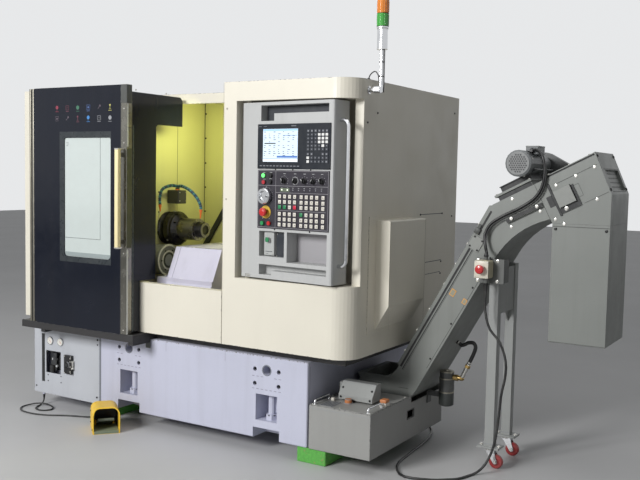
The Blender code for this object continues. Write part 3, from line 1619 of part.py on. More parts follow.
def build_pedal(yellow, grey):
    """The foot pedal under its hooped guard, on its lead from the base."""
    holder = empty("pedal_guard_place", (GUARD_X, GUARD_Y, 0.0), None, GUARD_TURN)
    half = GUARD_WIDTH / 2
    length = GUARD_LENGTH
    shell = prism(
        rounded(
            [
                (-half, 0.0, 0.0),
                (half, 0.0, 0.0),
                (half, GUARD_HEIGHT, 0.034),
                (-half, GUARD_HEIGHT, 0.034),
            ],
            4,
        ),
        "Y",
        -length / 2,
        length / 2,
    )
    wall = GUARD_WALL
    inner = prism(
        rounded(
            [
                (-half + wall, 0.014, 0.0),
                (half - wall, 0.014, 0.0),
                (half - wall, GUARD_HEIGHT - wall, 0.029),
                (-half + wall, GUARD_HEIGHT - wall, 0.029),
            ],
            4,
        ),
        "Y",
        -length / 2 - 0.01,
        length / 2 - wall,
    )
    slope = prism(
        [
            (-length / 2 - 0.01, 0.090),
            (-length / 2 + 0.050, GUARD_HEIGHT + 0.01),
            (-length / 2 - 0.01, GUARD_HEIGHT + 0.01),
        ],
        "X",
        -half - 0.01,
        half + 0.01,
    )
    shell = cut(shell, [inner, slope])
    ears = [
        block((-0.050, length / 2 - 0.040, 0.012), (-0.040, length / 2 - 0.015, 0.034)),
        block((0.040, length / 2 - 0.040, 0.012), (0.050, length / 2 - 0.015, 0.034)),
        drum(0.010, "Y", (0, 0, 0.040), length / 2 - 0.004, length / 2 + 0.014, 12),
    ]
    piece("pedal_guard", merge(shell, ears), yellow, holder)
    axis = empty("pedal_axis", (0.0, length / 2 - 0.028, 0.027), holder)
    tread = prism(
        [
            (0.006, -0.008),
            (0.008, 0.002),
            (0.000, 0.008),
            (-0.105, 0.042),
            (-0.112, 0.040),
            (-0.110, 0.032),
            (-0.012, -0.006),
        ],
        "X",
        -0.0395,
        0.0395,
    )
    piece("foot_pedal", tread, grey, axis)


def centre_on_floor():
    """Moves the root so that the origin is on the floor under the middle of the box of all solids."""
    bpy.context.view_layer.update()
    places = [
        made.matrix_world @ vertex.co
        for made in bpy.data.objects
        if made.type == "MESH"
        for vertex in made.data.vertices
    ]
    for i in range(2):
        middle = (min(place[i] for place in places) + max(place[i] for place in places)) / 2
        ROOT.location[i] = -middle
    bpy.context.view_layer.update()


def main():
    global ROOT
    clear_scene()
    ROOT = bpy.data.objects.new("lathe", None)
    bpy.context.scene.collection.objects.link(ROOT)

    cream = paint("cream_paint", (0.80, 0.77, 0.68), 0.42)
    lavender = paint("lavender_paint", (0.50, 0.51, 0.66), 0.45)
    panel_grey = paint("service_grey_paint", (0.52, 0.54, 0.58), 0.45)
    dark = paint("dark_paint", (0.035, 0.037, 0.042), 0.5)
    ink = paint("door_paint", (0.020, 0.024, 0.034), 0.28)
    timber = paint("timber", (0.14, 0.42, 0.10), 0.8)
    glass = paint("window_glass", (0.55, 0.60, 0.58), 0.1)
    silver = paint("trim_aluminium", (0.60, 0.61, 0.62), 0.3, 1.0)
    chrome = paint("chrome_bar", (0.75, 0.75, 0.76), 0.12, 1.0)
    steel_dark = paint("chuck_steel", (0.10, 0.10, 0.105), 0.3, 1.0)
    teal = paint("hose_teal", (0.05, 0.20, 0.26), 0.4)
    hub_grey = paint("hub_grey_paint", (0.26, 0.26, 0.25), 0.5)
    frame_grey = paint("panel_grey_paint", (0.50, 0.50, 0.50), 0.45)
    bezel = paint("bezel_plastic", (0.020, 0.027, 0.037), 0.4)
    switch = paint("switch_plastic", (0.075, 0.068, 0.085), 0.5)
    black = paint("black_plastic", (0.010, 0.010, 0.011), 0.45)
    red = paint("red_plastic", (0.55, 0.02, 0.02), 0.35)
    green = paint("green_plastic", (0.03, 0.40, 0.12), 0.35)
    lens_green = paint("green_lens", (0.08, 0.55, 0.12), 0.15)
    lens_amber = paint("amber_lens", (0.75, 0.28, 0.02), 0.15)
    conveyor_grey = paint("conveyor_paint", (0.21, 0.22, 0.215), 0.5)
    light_grey = paint("light_grey_paint", (0.36, 0.37, 0.36), 0.5)
    tank_grey = paint("tank_paint", (0.36, 0.36, 0.35), 0.5)
    motor_grey = paint("motor_paint", (0.20, 0.21, 0.215), 0.5)
    rubber = paint("cable_rubber", (0.012, 0.012, 0.013), 0.6)
    yellow = paint("pedal_yellow_paint", (0.85, 0.55, 0.03), 0.4)
    pedal_grey = paint("pedal_grey_paint", (0.16, 0.20, 0.16), 0.6)

    build_base(lavender, panel_grey, dark, timber)
    build_body(cream, dark)
    build_spindle(steel_dark, teal, hub_grey, lavender)
    build_door(ink, glass, silver)
    build_panel(frame_grey, bezel, switch, chrome, black, red, green)
    build_lamp(chrome, lens_green, lens_amber)
    build_tank(tank_grey, light_grey)
    build_conveyor(conveyor_grey, dark, motor_grey)
    build_stand(light_grey, red, chrome, cream)
    build_filter(dark, rubber)
    build_cables(rubber)
    build_pedal(yellow, pedal_grey)

    centre_on_floor()


if __name__ == "__main__":
    main()
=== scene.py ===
"""Looks of the turning lathe with its operator panel, tank, chip conveyor and pedal. Metres.

Pieces are laid out in the machine's own sizes: X from the base's left end, Y from the enclosure's
front, Z from the floor. settle() moves a piece, and place() a point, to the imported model's frame.
"""
import math

import bpy
from mathutils import Matrix, Vector


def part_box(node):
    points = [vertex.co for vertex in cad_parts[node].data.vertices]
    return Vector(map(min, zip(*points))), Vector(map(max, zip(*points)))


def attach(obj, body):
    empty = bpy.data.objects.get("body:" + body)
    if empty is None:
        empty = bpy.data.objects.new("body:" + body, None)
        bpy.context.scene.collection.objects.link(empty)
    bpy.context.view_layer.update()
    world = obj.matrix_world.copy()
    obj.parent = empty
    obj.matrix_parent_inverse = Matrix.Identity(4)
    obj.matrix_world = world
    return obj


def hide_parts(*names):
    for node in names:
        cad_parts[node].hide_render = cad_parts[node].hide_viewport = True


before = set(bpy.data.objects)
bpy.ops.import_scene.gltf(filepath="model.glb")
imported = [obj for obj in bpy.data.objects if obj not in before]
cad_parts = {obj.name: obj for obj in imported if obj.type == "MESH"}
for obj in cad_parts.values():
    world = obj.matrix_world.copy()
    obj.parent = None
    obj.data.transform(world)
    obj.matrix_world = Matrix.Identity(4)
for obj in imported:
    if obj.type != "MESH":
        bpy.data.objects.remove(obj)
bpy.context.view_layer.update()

BASE_FRONT = 0.04
base_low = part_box("base_casting")[0]
CORNER = Vector((base_low.x, base_low.y - BASE_FRONT, 0.0))
TO_FRAME = Matrix.Translation(CORNER)

# Operator panel: its hinge, turn and lowest edge
PANEL_FOOT = 0.828
HINGE = Vector((1.45, 0.047, PANEL_FOOT))
PANEL = Matrix.Translation(HINGE) @ Matrix.Rotation(math.radians(-6.0), 4, "Z")
PANEL_LEFT = -0.016

# Foot pedal guard: its place on the floor and its turn
GUARD = Matrix.Translation((0.681, -0.098, 0.0)) @ Matrix.Rotation(math.radians(49.6), 4, "Z")

FRONT, RIGHT, UP = (0, -1, 0), (1, 0, 0), (0, 0, 1)

# The photograph's camera, in the machine's sizes, and its lens in millimetres
CAMERA_AT = (3.85, -3.25, 1.307)
LENS_LENGTH = 49.24

# Front faces that many pieces sit on
DOOR_FACE = -0.098
CONVEYOR_SIDE = 0.4498
# The spindle's centre line in Y and Z, and the middles of the base's pockets in X
SPINDLE_AXIS = (0.345, 1.003)
POCKET_CENTRES = (0.71, 1.572)
# The widest angle that is shaded smooth, the points of a cord's path and a cord's gap to the floor
SMOOTH_ANGLE = math.radians(32)
CORD_POINTS = 78
FLOOR_GAP = 0.0003

LEAD_RADIUS = 0.0055
LEAD_ROUTE = (
    (2.49, 0.388, 0.8457), (2.49, 0.388, 0.8), (2.492, 0.388, 0.72), (2.515, 0.388, 0.645),
    (2.562, 0.388, 0.592), (2.592, 0.388, 0.515), (2.593, 0.388, 0.44), (2.578, 0.388, 0.357),
    (2.569, 0.388, 0.243), (2.556, 0.384, 0.14), (2.53, 0.365, 0.055), (2.49, 0.33, 0.0058),
    (2.457, 0.235, 0.0058), (2.413, 0.189, 0.0058), (2.348, 0.145, 0.0058), (2.235, 0.127, 0.0058),
    (2.154, 0.246, 0.0058), (2.13, 0.418, 0.0058), (2.112, 0.62, 0.0058), (2.08, 0.78, 0.0058),
    (2.03, 0.88, 0.0058), (1.975, 0.93, 0.02), (1.92, 0.94, 0.085), (1.875, 0.94, 0.137),
    (1.848, 0.94, 0.15), (1.832, 0.94, 0.15), (1.8165, 0.94, 0.15),
)
PEDAL_CORD_RADIUS = 0.004
PEDAL_CORD_ROUTE = (
    (0.06, 0.055, 0.0577), (0.0605, 0.054, 0.042), (0.063, 0.047, 0.019), (0.068, 0.025, 0.0058),
    (0.078, -0.004, 0.0043), (0.108, -0.045, 0.0043), (0.162, -0.052, 0.0043), (0.192, -0.015, 0.0043),
    (0.164, 0.022, 0.007), (0.11, 0.026, 0.0145), (0.065, 0.006, 0.016), (0.03, -0.022, 0.009),
    (0.022, -0.068, 0.0043), (0.075, -0.113, 0.0043), (0.17, -0.122, 0.0043), (0.26, -0.097, 0.0043),
    (0.34, -0.05, 0.0043), (0.43, -0.013, 0.0043), (0.51, 0.008, 0.012), (0.56, 0.006, 0.033),
    (0.588, -0.0188, 0.04), (0.6055, -0.0337, 0.04),
)


def place(x, y, z):
    """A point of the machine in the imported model's frame."""
    return CORNER + Vector((x, y, z))


def tone(red, green, blue):
    """A linear colour from the three values, 0 to 255, that a picture shows."""
    out = []
    for part in (red, green, blue):
        part /= 255
        out.append(part / 12.92 if part <= 0.04045 else ((part + 0.055) / 1.055) ** 2.4)
    return (*out, 1.0)


def set_camera():
    """The photograph's camera: level with the door's window, to the right of the machine."""
    yaw, pitch, roll = 0.547, -0.075, 0.02
    ahead = Vector((-math.sin(yaw) * math.cos(pitch), math.cos(yaw) * math.cos(pitch), math.sin(pitch)))
    side = Vector((math.cos(yaw), math.sin(yaw), 0.0))
    above = side.cross(ahead)
    right = side * math.cos(roll) + above * math.sin(roll)
    up = above * math.cos(roll) - side * math.sin(roll)
    lens = bpy.data.cameras.new("photo_camera")
    lens.lens = LENS_LENGTH
    lens.sensor_width = 36.0
    lens.clip_end = 100.0
    camera = bpy.data.objects.new("photo_camera", lens)
    bpy.context.scene.collection.objects.link(camera)
    turn = Matrix((right, up, -ahead)).transposed().to_4x4()
    camera.matrix_world = Matrix.Translation(place(*CAMERA_AT)) @ turn
    bpy.context.scene.camera = camera


def lamp(name, at, towards, size, power, colour=(1.0, 1.0, 1.0)):
    """A rectangular lamp at one point, aimed at another."""
    light = bpy.data.lights.new(name, "AREA")
    light.shape = "RECTANGLE"
    light.size, light.size_y = size
    light.energy = power
    light.color = colour
    made = bpy.data.objects.new(name, light)
    bpy.context.scene.collection.objects.link(made)
    made.location = at
    made.rotation_euler = (Vector(towards) - Vector(at)).to_track_quat("-Z", "Y").to_euler()
    return made


def node(tree, kind, inputs=None, **settings):
    """A shader node with its inputs set to values or linked to sockets."""
    made = tree.nodes.new("ShaderNode" + kind)
    for key, value in settings.items():
        setattr(made, key, value)
    for key, value in (inputs or {}).items():
        socket = made.inputs[key]
        if isinstance(value, bpy.types.NodeSocket):
            tree.links.new(value, socket)
        else:
            socket.default_value = value
    return made


def set_stage():
    """Soft studio lamps, the chamber's own light, a pale background and the floor."""
    lamp("key_softbox", (-1.5, -6.0, 3.3), (0.2, -0.2, 0.9), (1.8, 1.8), 350)
    lamp("top_softbox", (0.4, -1.0, 5.2), (0.2, 0.0, 0.5), (4.5, 3.5), 62)
    lamp("right_softbox", (5.0, -2.6, 2.8), (0.8, 0.0, 0.9), (2.4, 2.4), 2)
    over, wall = place(1.02, 0.3, 1.6), place(0.74, 0.4, 1.2)
    chamber = lamp("chamber_light", over, wall, (0.3, 0.1), 1.9, (0.98, 1.0, 0.43))
    chamber.visible_glossy = False
    world = bpy.data.worlds.new("studio")
    world.use_nodes = True
    tree = world.node_tree
    tree.nodes.clear()
    ray = node(tree, "LightPath")
    seen = node(
        tree, "Math", {0: ray.outputs["Is Camera Ray"], 1: ray.outputs["Is Glossy Ray"]},
        operation="MAXIMUM",
    )
    seen = node(
        tree, "Math", {0: seen.outputs[0], 1: ray.outputs["Is Transmission Ray"]}, operation="MAXIMUM",
    )
    soft = node(tree, "Background", {"Color": (0.86, 0.89, 0.94, 1.0), "Strength": 0.085})
    pale = node(tree, "Background", {"Color": (0.8, 0.81, 0.82, 1.0), "Strength": 1.0})
    mix = node(tree, "MixShader", {0: seen.outputs[0], 1: soft.outputs[0], 2: pale.outputs[0]})
    out = node(tree, "OutputWorld", {"Surface": mix.outputs[0]})
    bpy.context.scene.world = world
    bpy.context.scene.view_settings.view_transform = "Standard"

    bpy.ops.mesh.primitive_plane_add(size=40.0, location=(0, 0, 0))
    floor = bpy.context.object
    floor.name = "studio_floor"
    pale_floor = bpy.data.materials.new("pale_floor")
    pale_floor.use_nodes = True
    tree = pale_floor.node_tree
    shader = tree.nodes["Principled BSDF"]
    where = object_place(tree)
    cloud = node(tree, "TexNoise", {"Vector": where, "Scale": 1.3, "Detail": 5.0})
    shade = node(tree, "MapRange", {0: cloud.outputs[0], 1: 0.3, 2: 0.7, 3: 0.5, 4: 0.54})
    tree.links.new(shade.outputs[0], shader.inputs["Base Color"])
    shader.inputs["Roughness"].default_value = 0.55
    floor.data.materials.append(pale_floor)


def group(name, inputs, outputs):
    """A shader node group with named inputs (label, kind, value) and outputs (label, kind)."""
    tree = bpy.data.node_groups.new(name, "ShaderNodeTree")
    for label, kind, value in inputs:
        socket = tree.interface.new_socket(name=label, in_out="INPUT", socket_type="NodeSocket" + kind)
        socket.default_value = value
    for label, kind in outputs:
        tree.interface.new_socket(name=label, in_out="OUTPUT", socket_type="NodeSocket" + kind)
    start = tree.nodes.new("NodeGroupInput").outputs
    end = tree.nodes.new("NodeGroupOutput").inputs
    return tree, start, end


def calc(tree, operation, a, b=0.0):
    """One step of arithmetic between two values."""
    return node(tree, "Math", {0: a, 1: b}, operation=operation).outputs[0]


def ramp(tree, value, low, high, to_low=0.0, to_high=1.0):
    """A value stretched from one range to another and held inside it."""
    return node(tree, "MapRange", {0: value, 1: low, 2: high, 3: to_low, 4: to_high}).outputs[0]


def noise(tree, where, scale, detail=2.0, rough=0.5):
    """Cloudy noise from 0 to 1."""
    return node(
        tree, "TexNoise", {"Vector": where, "Scale": scale, "Detail": detail, "Roughness": rough},
    ).outputs[0]


def stretched(tree, where, scale):
    """Coordinates scaled along each axis."""
    return node(tree, "Mapping", {"Vector": where, "Scale": scale}).outputs[0]


def blend_colour(tree, share, first, second):
    """A share of the second colour over the first."""
    return node(tree, "MixRGB", {0: share, 1: first, 2: second}).outputs[0]


def scaled(tree, colour, factor):
    """A colour made lighter or darker by a factor."""
    return node(tree, "VectorMath", {0: colour, "Scale": factor}, operation="SCALE").outputs[0]


def around_one(tree, value, share):
    """A factor that strays from 1 by a share of a value between -1 and 1."""
    return node(tree, "Math", {0: value, 1: share, 2: 1.0}, operation="MULTIPLY_ADD").outputs[0]


def object_place(tree):
    """The shaded point's own place in its object."""
    return node(tree, "TexCoord").outputs["Object"]


def depth_inside(tree, where, low, high):
    """How far inside two corners a point lies along each axis."""
    from_low = node(tree, "VectorMath", {0: where, 1: low}, operation="SUBTRACT").outputs[0]
    from_high = node(tree, "VectorMath", {0: high, 1: where}, operation="SUBTRACT").outputs[0]
    near = node(tree, "VectorMath", {0: from_low, 1: from_high}, operation="MINIMUM").outputs[0]
    return node(tree, "SeparateXYZ", {0: near}).outputs[:3]


def worn_edge_group():
    """Mask of the scuffed edges of a box given by its two corners."""
    tree, start, end = group(
        "worn_edges",
        [("Low", "Vector", (0, 0, 0)), ("High", "Vector", (1, 1, 1)), ("Width", "Float", 0.004)],
        [("Mask", "Float")],
    )
    where = object_place(tree)
    x, y, z = depth_inside(tree, where, start["Low"], start["High"])
    pairs = [calc(tree, "MAXIMUM", a, b) for a, b in ((x, y), (y, z), (z, x))]
    closest = calc(tree, "MINIMUM", calc(tree, "MINIMUM", pairs[0], pairs[1]), pairs[2])
    ragged = noise(tree, where, 70.0, 4.0, 0.7)
    reach = calc(tree, "MULTIPLY", start["Width"], ramp(tree, ragged, 0.46, 0.66, 0.0, 1.6))
    tree.links.new(calc(tree, "LESS_THAN", closest, reach), end["Mask"])
    return tree


def sprayed_paint_group():
    """Sprayed paint: cloudy tone, runs of grime, dust specks, dirt near the floor and orange peel."""
    tree, start, end = group(
        "sprayed_paint",
        [
            ("Paint", "Color", (0.8, 0.8, 0.8, 1)),
            ("Grime", "Color", (0.1, 0.1, 0.1, 1)),
            ("Chip", "Color", (0.3, 0.3, 0.3, 1)),
            ("Edge", "Float", 0.0),
            ("Cloud", "Float", 0.06),
            ("Runs", "Float", 0.1),
            ("Specks", "Float", 0.25),
            ("Foot", "Float", 0.12),
            ("Gloss", "Float", 0.4),
            ("Peel", "Float", 420.0),
        ],
        [("Colour", "Color"), ("Roughness", "Float"), ("Height", "Float")],
    )
    where = object_place(tree)
    broad = noise(tree, where, 1.7, 5.0, 0.6)
    cloud = ramp(tree, broad, 0.3, 0.7, -1.0, 1.0)
    shade = around_one(tree, cloud, start["Cloud"])
    toned = scaled(tree, start["Paint"], shade)
    falling = noise(tree, stretched(tree, where, (16.0, 16.0, 0.8)), 1.0, 4.0, 0.6)
    runs = calc(tree, "MULTIPLY", ramp(tree, falling, 0.5, 0.72), start["Runs"])
    fine = noise(tree, where, 330.0, 2.0, 0.5)
    specks = calc(tree, "MULTIPLY", ramp(tree, fine, 0.68, 0.76), start["Specks"])
    height = node(tree, "SeparateXYZ", {0: where}).outputs[2]
    rough_edge = calc(tree, "MULTIPLY", noise(tree, where, 9.0, 5.0, 0.65), start["Foot"])
    foot = calc(tree, "MULTIPLY", calc(tree, "LESS_THAN", height, rough_edge), 0.16)
    grime = calc(tree, "MAXIMUM", calc(tree, "MAXIMUM", runs, specks), foot)
    dirty = blend_colour(tree, grime, toned, start["Grime"])
    tree.links.new(blend_colour(tree, start["Edge"], dirty, start["Chip"]), end["Colour"])
    hands = ramp(tree, noise(tree, where, 7.0, 5.0, 0.7), 0.35, 0.7, -0.05, 0.13)
    gloss = calc(tree, "ADD", start["Gloss"], hands)
    dull = node(tree, "Math", {0: grime, 1: 0.35, 2: gloss}, operation="MULTIPLY_ADD").outputs[0]
    tree.links.new(dull, end["Roughness"])
    peel = noise(tree, where, start["Peel"], 2.0, 0.5)
    sunk = calc(tree, "MULTIPLY", start["Edge"], -0.8)
    tree.links.new(calc(tree, "ADD", peel, sunk), end["Height"])
    return tree


def brushed_metal_group():
    """Metal with fine brush lines drawn out along one axis, and dull handled patches."""
    tree, start, end = group(
        "brushed_metal",
        [
            ("Metal", "Color", (0.6, 0.6, 0.6, 1)),
            ("Brush", "Vector", (900, 900, 6)),
            ("Dull", "Float", 0.25),
            ("Lines", "Float", 0.12),
        ],
        [("Colour", "Color"), ("Roughness", "Float"), ("Height", "Float")],
    )
    where = object_place(tree)
    line = noise(tree, stretched(tree, where, start["Brush"]), 1.0, 3.0, 0.6)
    handled = noise(tree, where, 22.0, 4.0, 0.65)
    shade = around_one(tree, ramp(tree, line, 0.25, 0.75, -1.0, 1.0), start["Lines"])
    tree.links.new(scaled(tree, start["Metal"], shade), end["Colour"])
    worn = ramp(tree, handled, 0.4, 0.7, 0.0, 0.14)
    lined = calc(tree, "MULTIPLY", line, start["Lines"])
    total = calc(tree, "ADD", calc(tree, "ADD", start["Dull"], worn), lined)
    tree.links.new(total, end["Roughness"])
    tree.links.new(line, end["Height"])
    return tree


def moulded_grain_group():
    """Moulded plastic or rubber: fine pitted grain, faint dust and finger marks."""
    tree, start, end = group(
        "moulded_grain",
        [
            ("Plastic", "Color", (0.1, 0.1, 0.1, 1)),
            ("Dust", "Color", (0.4, 0.4, 0.38, 1)),
            ("Dusty", "Float", 0.06),
            ("Grain", "Float", 900.0),
            ("Gloss", "Float", 0.4),
        ],
        [("Colour", "Color"), ("Roughness", "Float"), ("Height", "Float")],
    )
    where = object_place(tree)
    cloud = noise(tree, where, 16.0, 5.0, 0.65)
    share = calc(tree, "MULTIPLY", ramp(tree, cloud, 0.42, 0.72), start["Dusty"])
    tree.links.new(blend_colour(tree, share, start["Plastic"], start["Dust"]), end["Colour"])
    marks = ramp(tree, noise(tree, where, 45.0, 3.0, 0.6), 0.4, 0.7, -0.03, 0.1)
    tree.links.new(calc(tree, "ADD", start["Gloss"], marks), end["Roughness"])
    tree.links.new(noise(tree, where, start["Grain"], 2.0, 0.6), end["Height"])
    return tree


def sawn_timber_group():
    """Rough sawn timber under worn paint, its grain running along Y."""
    tree, start, end = group(
        "sawn_timber",
        [("Paint", "Color", (0.1, 0.4, 0.1, 1)), ("Wood", "Color", (0.4, 0.3, 0.18, 1))],
        [("Colour", "Color"), ("Roughness", "Float"), ("Height", "Float")],
    )
    where = object_place(tree)
    grain = noise(tree, stretched(tree, where, (90.0, 5.0, 90.0)), 1.0, 5.0, 0.65)
    worn = noise(tree, where, 24.0, 5.0, 0.75)
    bare = ramp(tree, calc(tree, "ADD", worn, calc(tree, "MULTIPLY", grain, 0.4)), 0.8, 0.86)
    lit = ramp(tree, grain, 0.3, 0.7, 0.75, 1.12)
    wood = scaled(tree, start["Wood"], lit)
    painted = scaled(tree, start["Paint"], lit)
    tree.links.new(blend_colour(tree, bare, painted, wood), end["Colour"])
    tree.links.new(ramp(tree, grain, 0.2, 0.8, 0.62, 0.9), end["Roughness"])
    tree.links.new(grain, end["Height"])
    return tree


GROUPS = {
    "paint": sprayed_paint_group(),
    "metal": brushed_metal_group(),
    "plastic": moulded_grain_group(),
    "timber": sawn_timber_group(),
}
WORN_EDGES = worn_edge_group()


def finish(
    name, kind, values, bump=0.1, depth=0.0003, metallic=0.0, edge=None, rounding=0.0, coat=0.0,
    specular=0.5,
):
    """A material from one of the groups, with its own values, edge wear and rounded edge light."""
    made = bpy.data.materials.new(name)
    made.use_nodes = True
    tree = made.node_tree
    shader = tree.nodes["Principled BSDF"]
    shader.inputs["Metallic"].default_value = metallic
    shader.inputs["Specular IOR Level"].default_value = specular
    if coat:
        shader.inputs["Coat Weight"].default_value = coat
        shader.inputs["Coat Roughness"].default_value = 0.08
    look = tree.nodes.new("ShaderNodeGroup")
    look.node_tree = GROUPS[kind]
    for key, value in values.items():
        look.inputs[key].default_value = value
    if edge:
        low, high, width = edge
        worn = tree.nodes.new("ShaderNodeGroup")
        worn.node_tree = WORN_EDGES
        worn.inputs["Low"].default_value = low
        worn.inputs["High"].default_value = high
        worn.inputs["Width"].default_value = width
        tree.links.new(worn.outputs["Mask"], look.inputs["Edge"])
    tree.links.new(look.outputs["Colour"], shader.inputs["Base Color"])
    tree.links.new(look.outputs["Roughness"], shader.inputs["Roughness"])
    relief = node(tree, "Bump", {"Strength": bump, "Distance": depth, "Height": look.outputs["Height"]})
    if rounding:
        soft = node(tree, "Bevel", {"Radius": rounding}, samples=4)
        tree.links.new(soft.outputs[0], relief.inputs["Normal"])
    tree.links.new(relief.outputs[0], shader.inputs["Normal"])
    return made


GRIME = tone(78, 74, 66)
CREAM = tone(226, 221, 206)
STEEL = tone(120, 120, 118)


def paint(name, colour, cad_node, width, specular=0.5, **values):
    """Sprayed paint for a CAD node, scuffed along the edges of its box."""
    look = {"Paint": colour, "Grime": GRIME, "Chip": STEEL, **values}
    edge = (*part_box(cad_node), width)
    return finish(name, "paint", look, 0.12, 0.0004, edge=edge, rounding=0.0012, specular=specular)


def within(made, low, high, outside, inside):
    """Changes a paint's tone between two corners of the machine."""
    tree = made.node_tree
    look = next(n for n in tree.nodes if n.type == "GROUP" and n.node_tree == GROUPS["paint"])
    where = object_place(tree)
    x, y, z = depth_inside(tree, where, place(*low), place(*high))
    covered = calc(tree, "GREATER_THAN", calc(tree, "MINIMUM", calc(tree, "MINIMUM", x, y), z), 0.0)
    tree.links.new(blend_colour(tree, covered, outside, inside), look.inputs["Paint"])


CREAM_COAT = dict(Cloud=0.03, Runs=0.025, Foot=0.0, Gloss=0.36)
INK_COAT = dict(specular=0.3, Cloud=0.08, Runs=0.03, Specks=0.08, Foot=0.0, Gloss=0.17)
CONVEYOR_COAT = dict(Runs=0.12, Specks=0.3, Foot=0.0, Gloss=0.42)
TANK_COAT = dict(Runs=0.05, Foot=0.05)
CLEAN = dict(Foot=0.0)

# CAD node: its paint's name, its colour, the width of its scuffed edges and the paint's values
PAINTS = {
    "right_body": ("cream_right_body", (226, 221, 206), 0.0015, CREAM_COAT),
    "roof": ("cream_roof", (226, 221, 206), 0.0015, CREAM_COAT),
    "front_apron": ("cream_front_apron", (226, 221, 206), 0.0015, CREAM_COAT),
    "side_cover": ("cream_side_cover", (226, 221, 206), 0.0015, CREAM_COAT),
    "headstock_body": ("cream_headstock_body", (226, 221, 206), 0.0015, CREAM_COAT),
    "stop_box": ("stop_box_and_plate", (205, 201, 188), 0.0015, CLEAN),
    "base_casting": ("lavender_base", (194, 196, 213), 0.004, dict(Cloud=0.05, Runs=0.07, Foot=0.1)),
    "carriage_cover": ("lavender_carriage", (196, 194, 212), 0.002, CLEAN),
    "service_panel": ("service_grey", (186, 189, 195), 0.003, dict(Runs=0.06, Foot=0.1)),
    # The sub frame's near-black is partly its own dark paint and partly painted shade of the gap under
    # the enclosure.
    "sub_frame": ("sub_frame_black_and_gap_shade", (44, 43, 44), 0.002, dict(Foot=0.0, Gloss=0.5)),
    "slant_guard": ("guard_black", (40, 44, 46), 0.001, CLEAN),
    "chain_guard": ("guard_grey", (70, 72, 72), 0.002, CLEAN),
    "door_panel": ("ink_door_panel", (20, 24, 35), 0.001, INK_COAT),
    "door_return": ("ink_door_return", (20, 24, 35), 0.001, INK_COAT),
    "probe_arm_hub": ("hub_grey", (128, 128, 124), 0.001, CLEAN),
    "coolant_block": ("block_black", (62, 62, 60), 0.0015, CLEAN),
    "panel_case": ("case_grey", (186, 187, 186), 0.0008, dict(Cloud=0.03, Foot=0.0, Gloss=0.38)),
    "conveyor_body": ("grey_conveyor_body", (131, 134, 130), 0.0018, CONVEYOR_COAT),
    "conveyor_head": ("grey_conveyor_head", (131, 134, 130), 0.0018, CONVEYOR_COAT),
    "discharge_chute": ("grey_discharge_chute", (131, 134, 130), 0.0018, CONVEYOR_COAT),
    "conveyor_legs": ("light_conveyor_legs", (152, 154, 152), 0.002, dict(Foot=0.1)),
    "pump_cover": ("light_pump_cover", (152, 154, 152), 0.002, dict(Foot=0.1)),
    "coolant_tank": ("tank_coolant_tank", (152, 152, 149), 0.003, TANK_COAT),
    "tank_lid": ("tank_tank_lid", (152, 152, 149), 0.003, TANK_COAT),
    "drive_motor": ("motor_grey", (118, 121, 122), 0.001, CLEAN),
    "pedal_guard": ("pedal_yellow", (250, 205, 58), 0.002, dict(Foot=0.04)),
}
# Material: its CAD nodes, its colour, its relief, its grain and gloss, and the shader's own values
MOULDED = {
    "air_unit_black": ("air_unit", (38, 40, 44), 0.1, dict(Dusty=0.2), {}),
    "laminated_window": (
        "door_window", (198, 207, 204), 0.02, dict(Dusty=0.1, Grain=60.0, Gloss=0.09), dict(coat=0.6),
    ),
    "hose_blue": ("coolant_hose", (52, 108, 122), 0.1, {}, {}),
    "bezel_ink": ("display_unit", (20, 26, 35), 0.08, dict(Dusty=0.03), dict(specular=0.3)),
    "switch_film": ("switch_panel", (50, 47, 55), 0.08, dict(Dusty=0.04), dict(specular=0.3)),
    "knob_black": (" ".join(f"selector_knob_{i}" for i in range(1, 6)), (22, 22, 24), 0.12, {}, {}),
    "glossy_red": (
        "emergency_button stop_button conveyor_stop_button", (196, 30, 34), 0.04,
        dict(Dusty=0.03, Gloss=0.24), dict(coat=0.3),
    ),
    "glossy_green": ("start_button", (36, 150, 84), 0.04, dict(Gloss=0.24), dict(coat=0.3)),
    "wheel_red": (
        "caster_wheel_front caster_wheel_rear", (150, 34, 34), 0.1, dict(Dusty=0.35, Gloss=0.45), {},
    ),
    "lens_green": ("lamp_green", (66, 172, 62), 0.02, dict(Dusty=0.02, Gloss=0.1), dict(coat=0.5)),
    "lens_amber": ("lamp_amber", (232, 140, 44), 0.02, dict(Dusty=0.02, Gloss=0.1), dict(coat=0.5)),
    "cable_rubber": (
        "motor_cable conveyor_lead pedal_cord filter_hose", (22, 22, 23), 0.15,
        dict(Dusty=0.12, Gloss=0.48), {},
    ),
    "tread_grey": ("foot_pedal", (98, 108, 96), 0.4, dict(Dusty=0.3, Grain=400.0), {}),
}
# Material: its CAD nodes, its colour, its relief, its brush lines and how much it is metal
BRUSHED = {
    "filter_alloy": ("coolant_filter", (96, 97, 96), 0.15, dict(Dull=0.42), 0.6),
    "brushed_edge": ("door_edge", (134, 132, 124), 0.1, dict(Dull=0.14), 1.0),
    "polished_chrome": (
        "panel_handle handwheel lamp_pole caster_fork_front caster_fork_rear", (214, 215, 217), 0.04,
        dict(Dull=0.1, Lines=0.05), 1.0,
    ),
    "ground_steel": (
        "collet_chuck spindle_flange", (64, 63, 62), 0.15, dict(Dull=0.2, Brush=(30, 1400, 1400)), 1.0,
    ),
}
# Corners of the lit chamber, whose walls carry a painted yellow-green lamp light, and of the stop box in
# front of its plate
CHAMBER = ((0.69, 0.004, 0.753), (1.42, 0.66, 1.716))
STOP_BOX = ((2.44, 0.35, 0.866), (2.5118, 0.4176, 0.947))


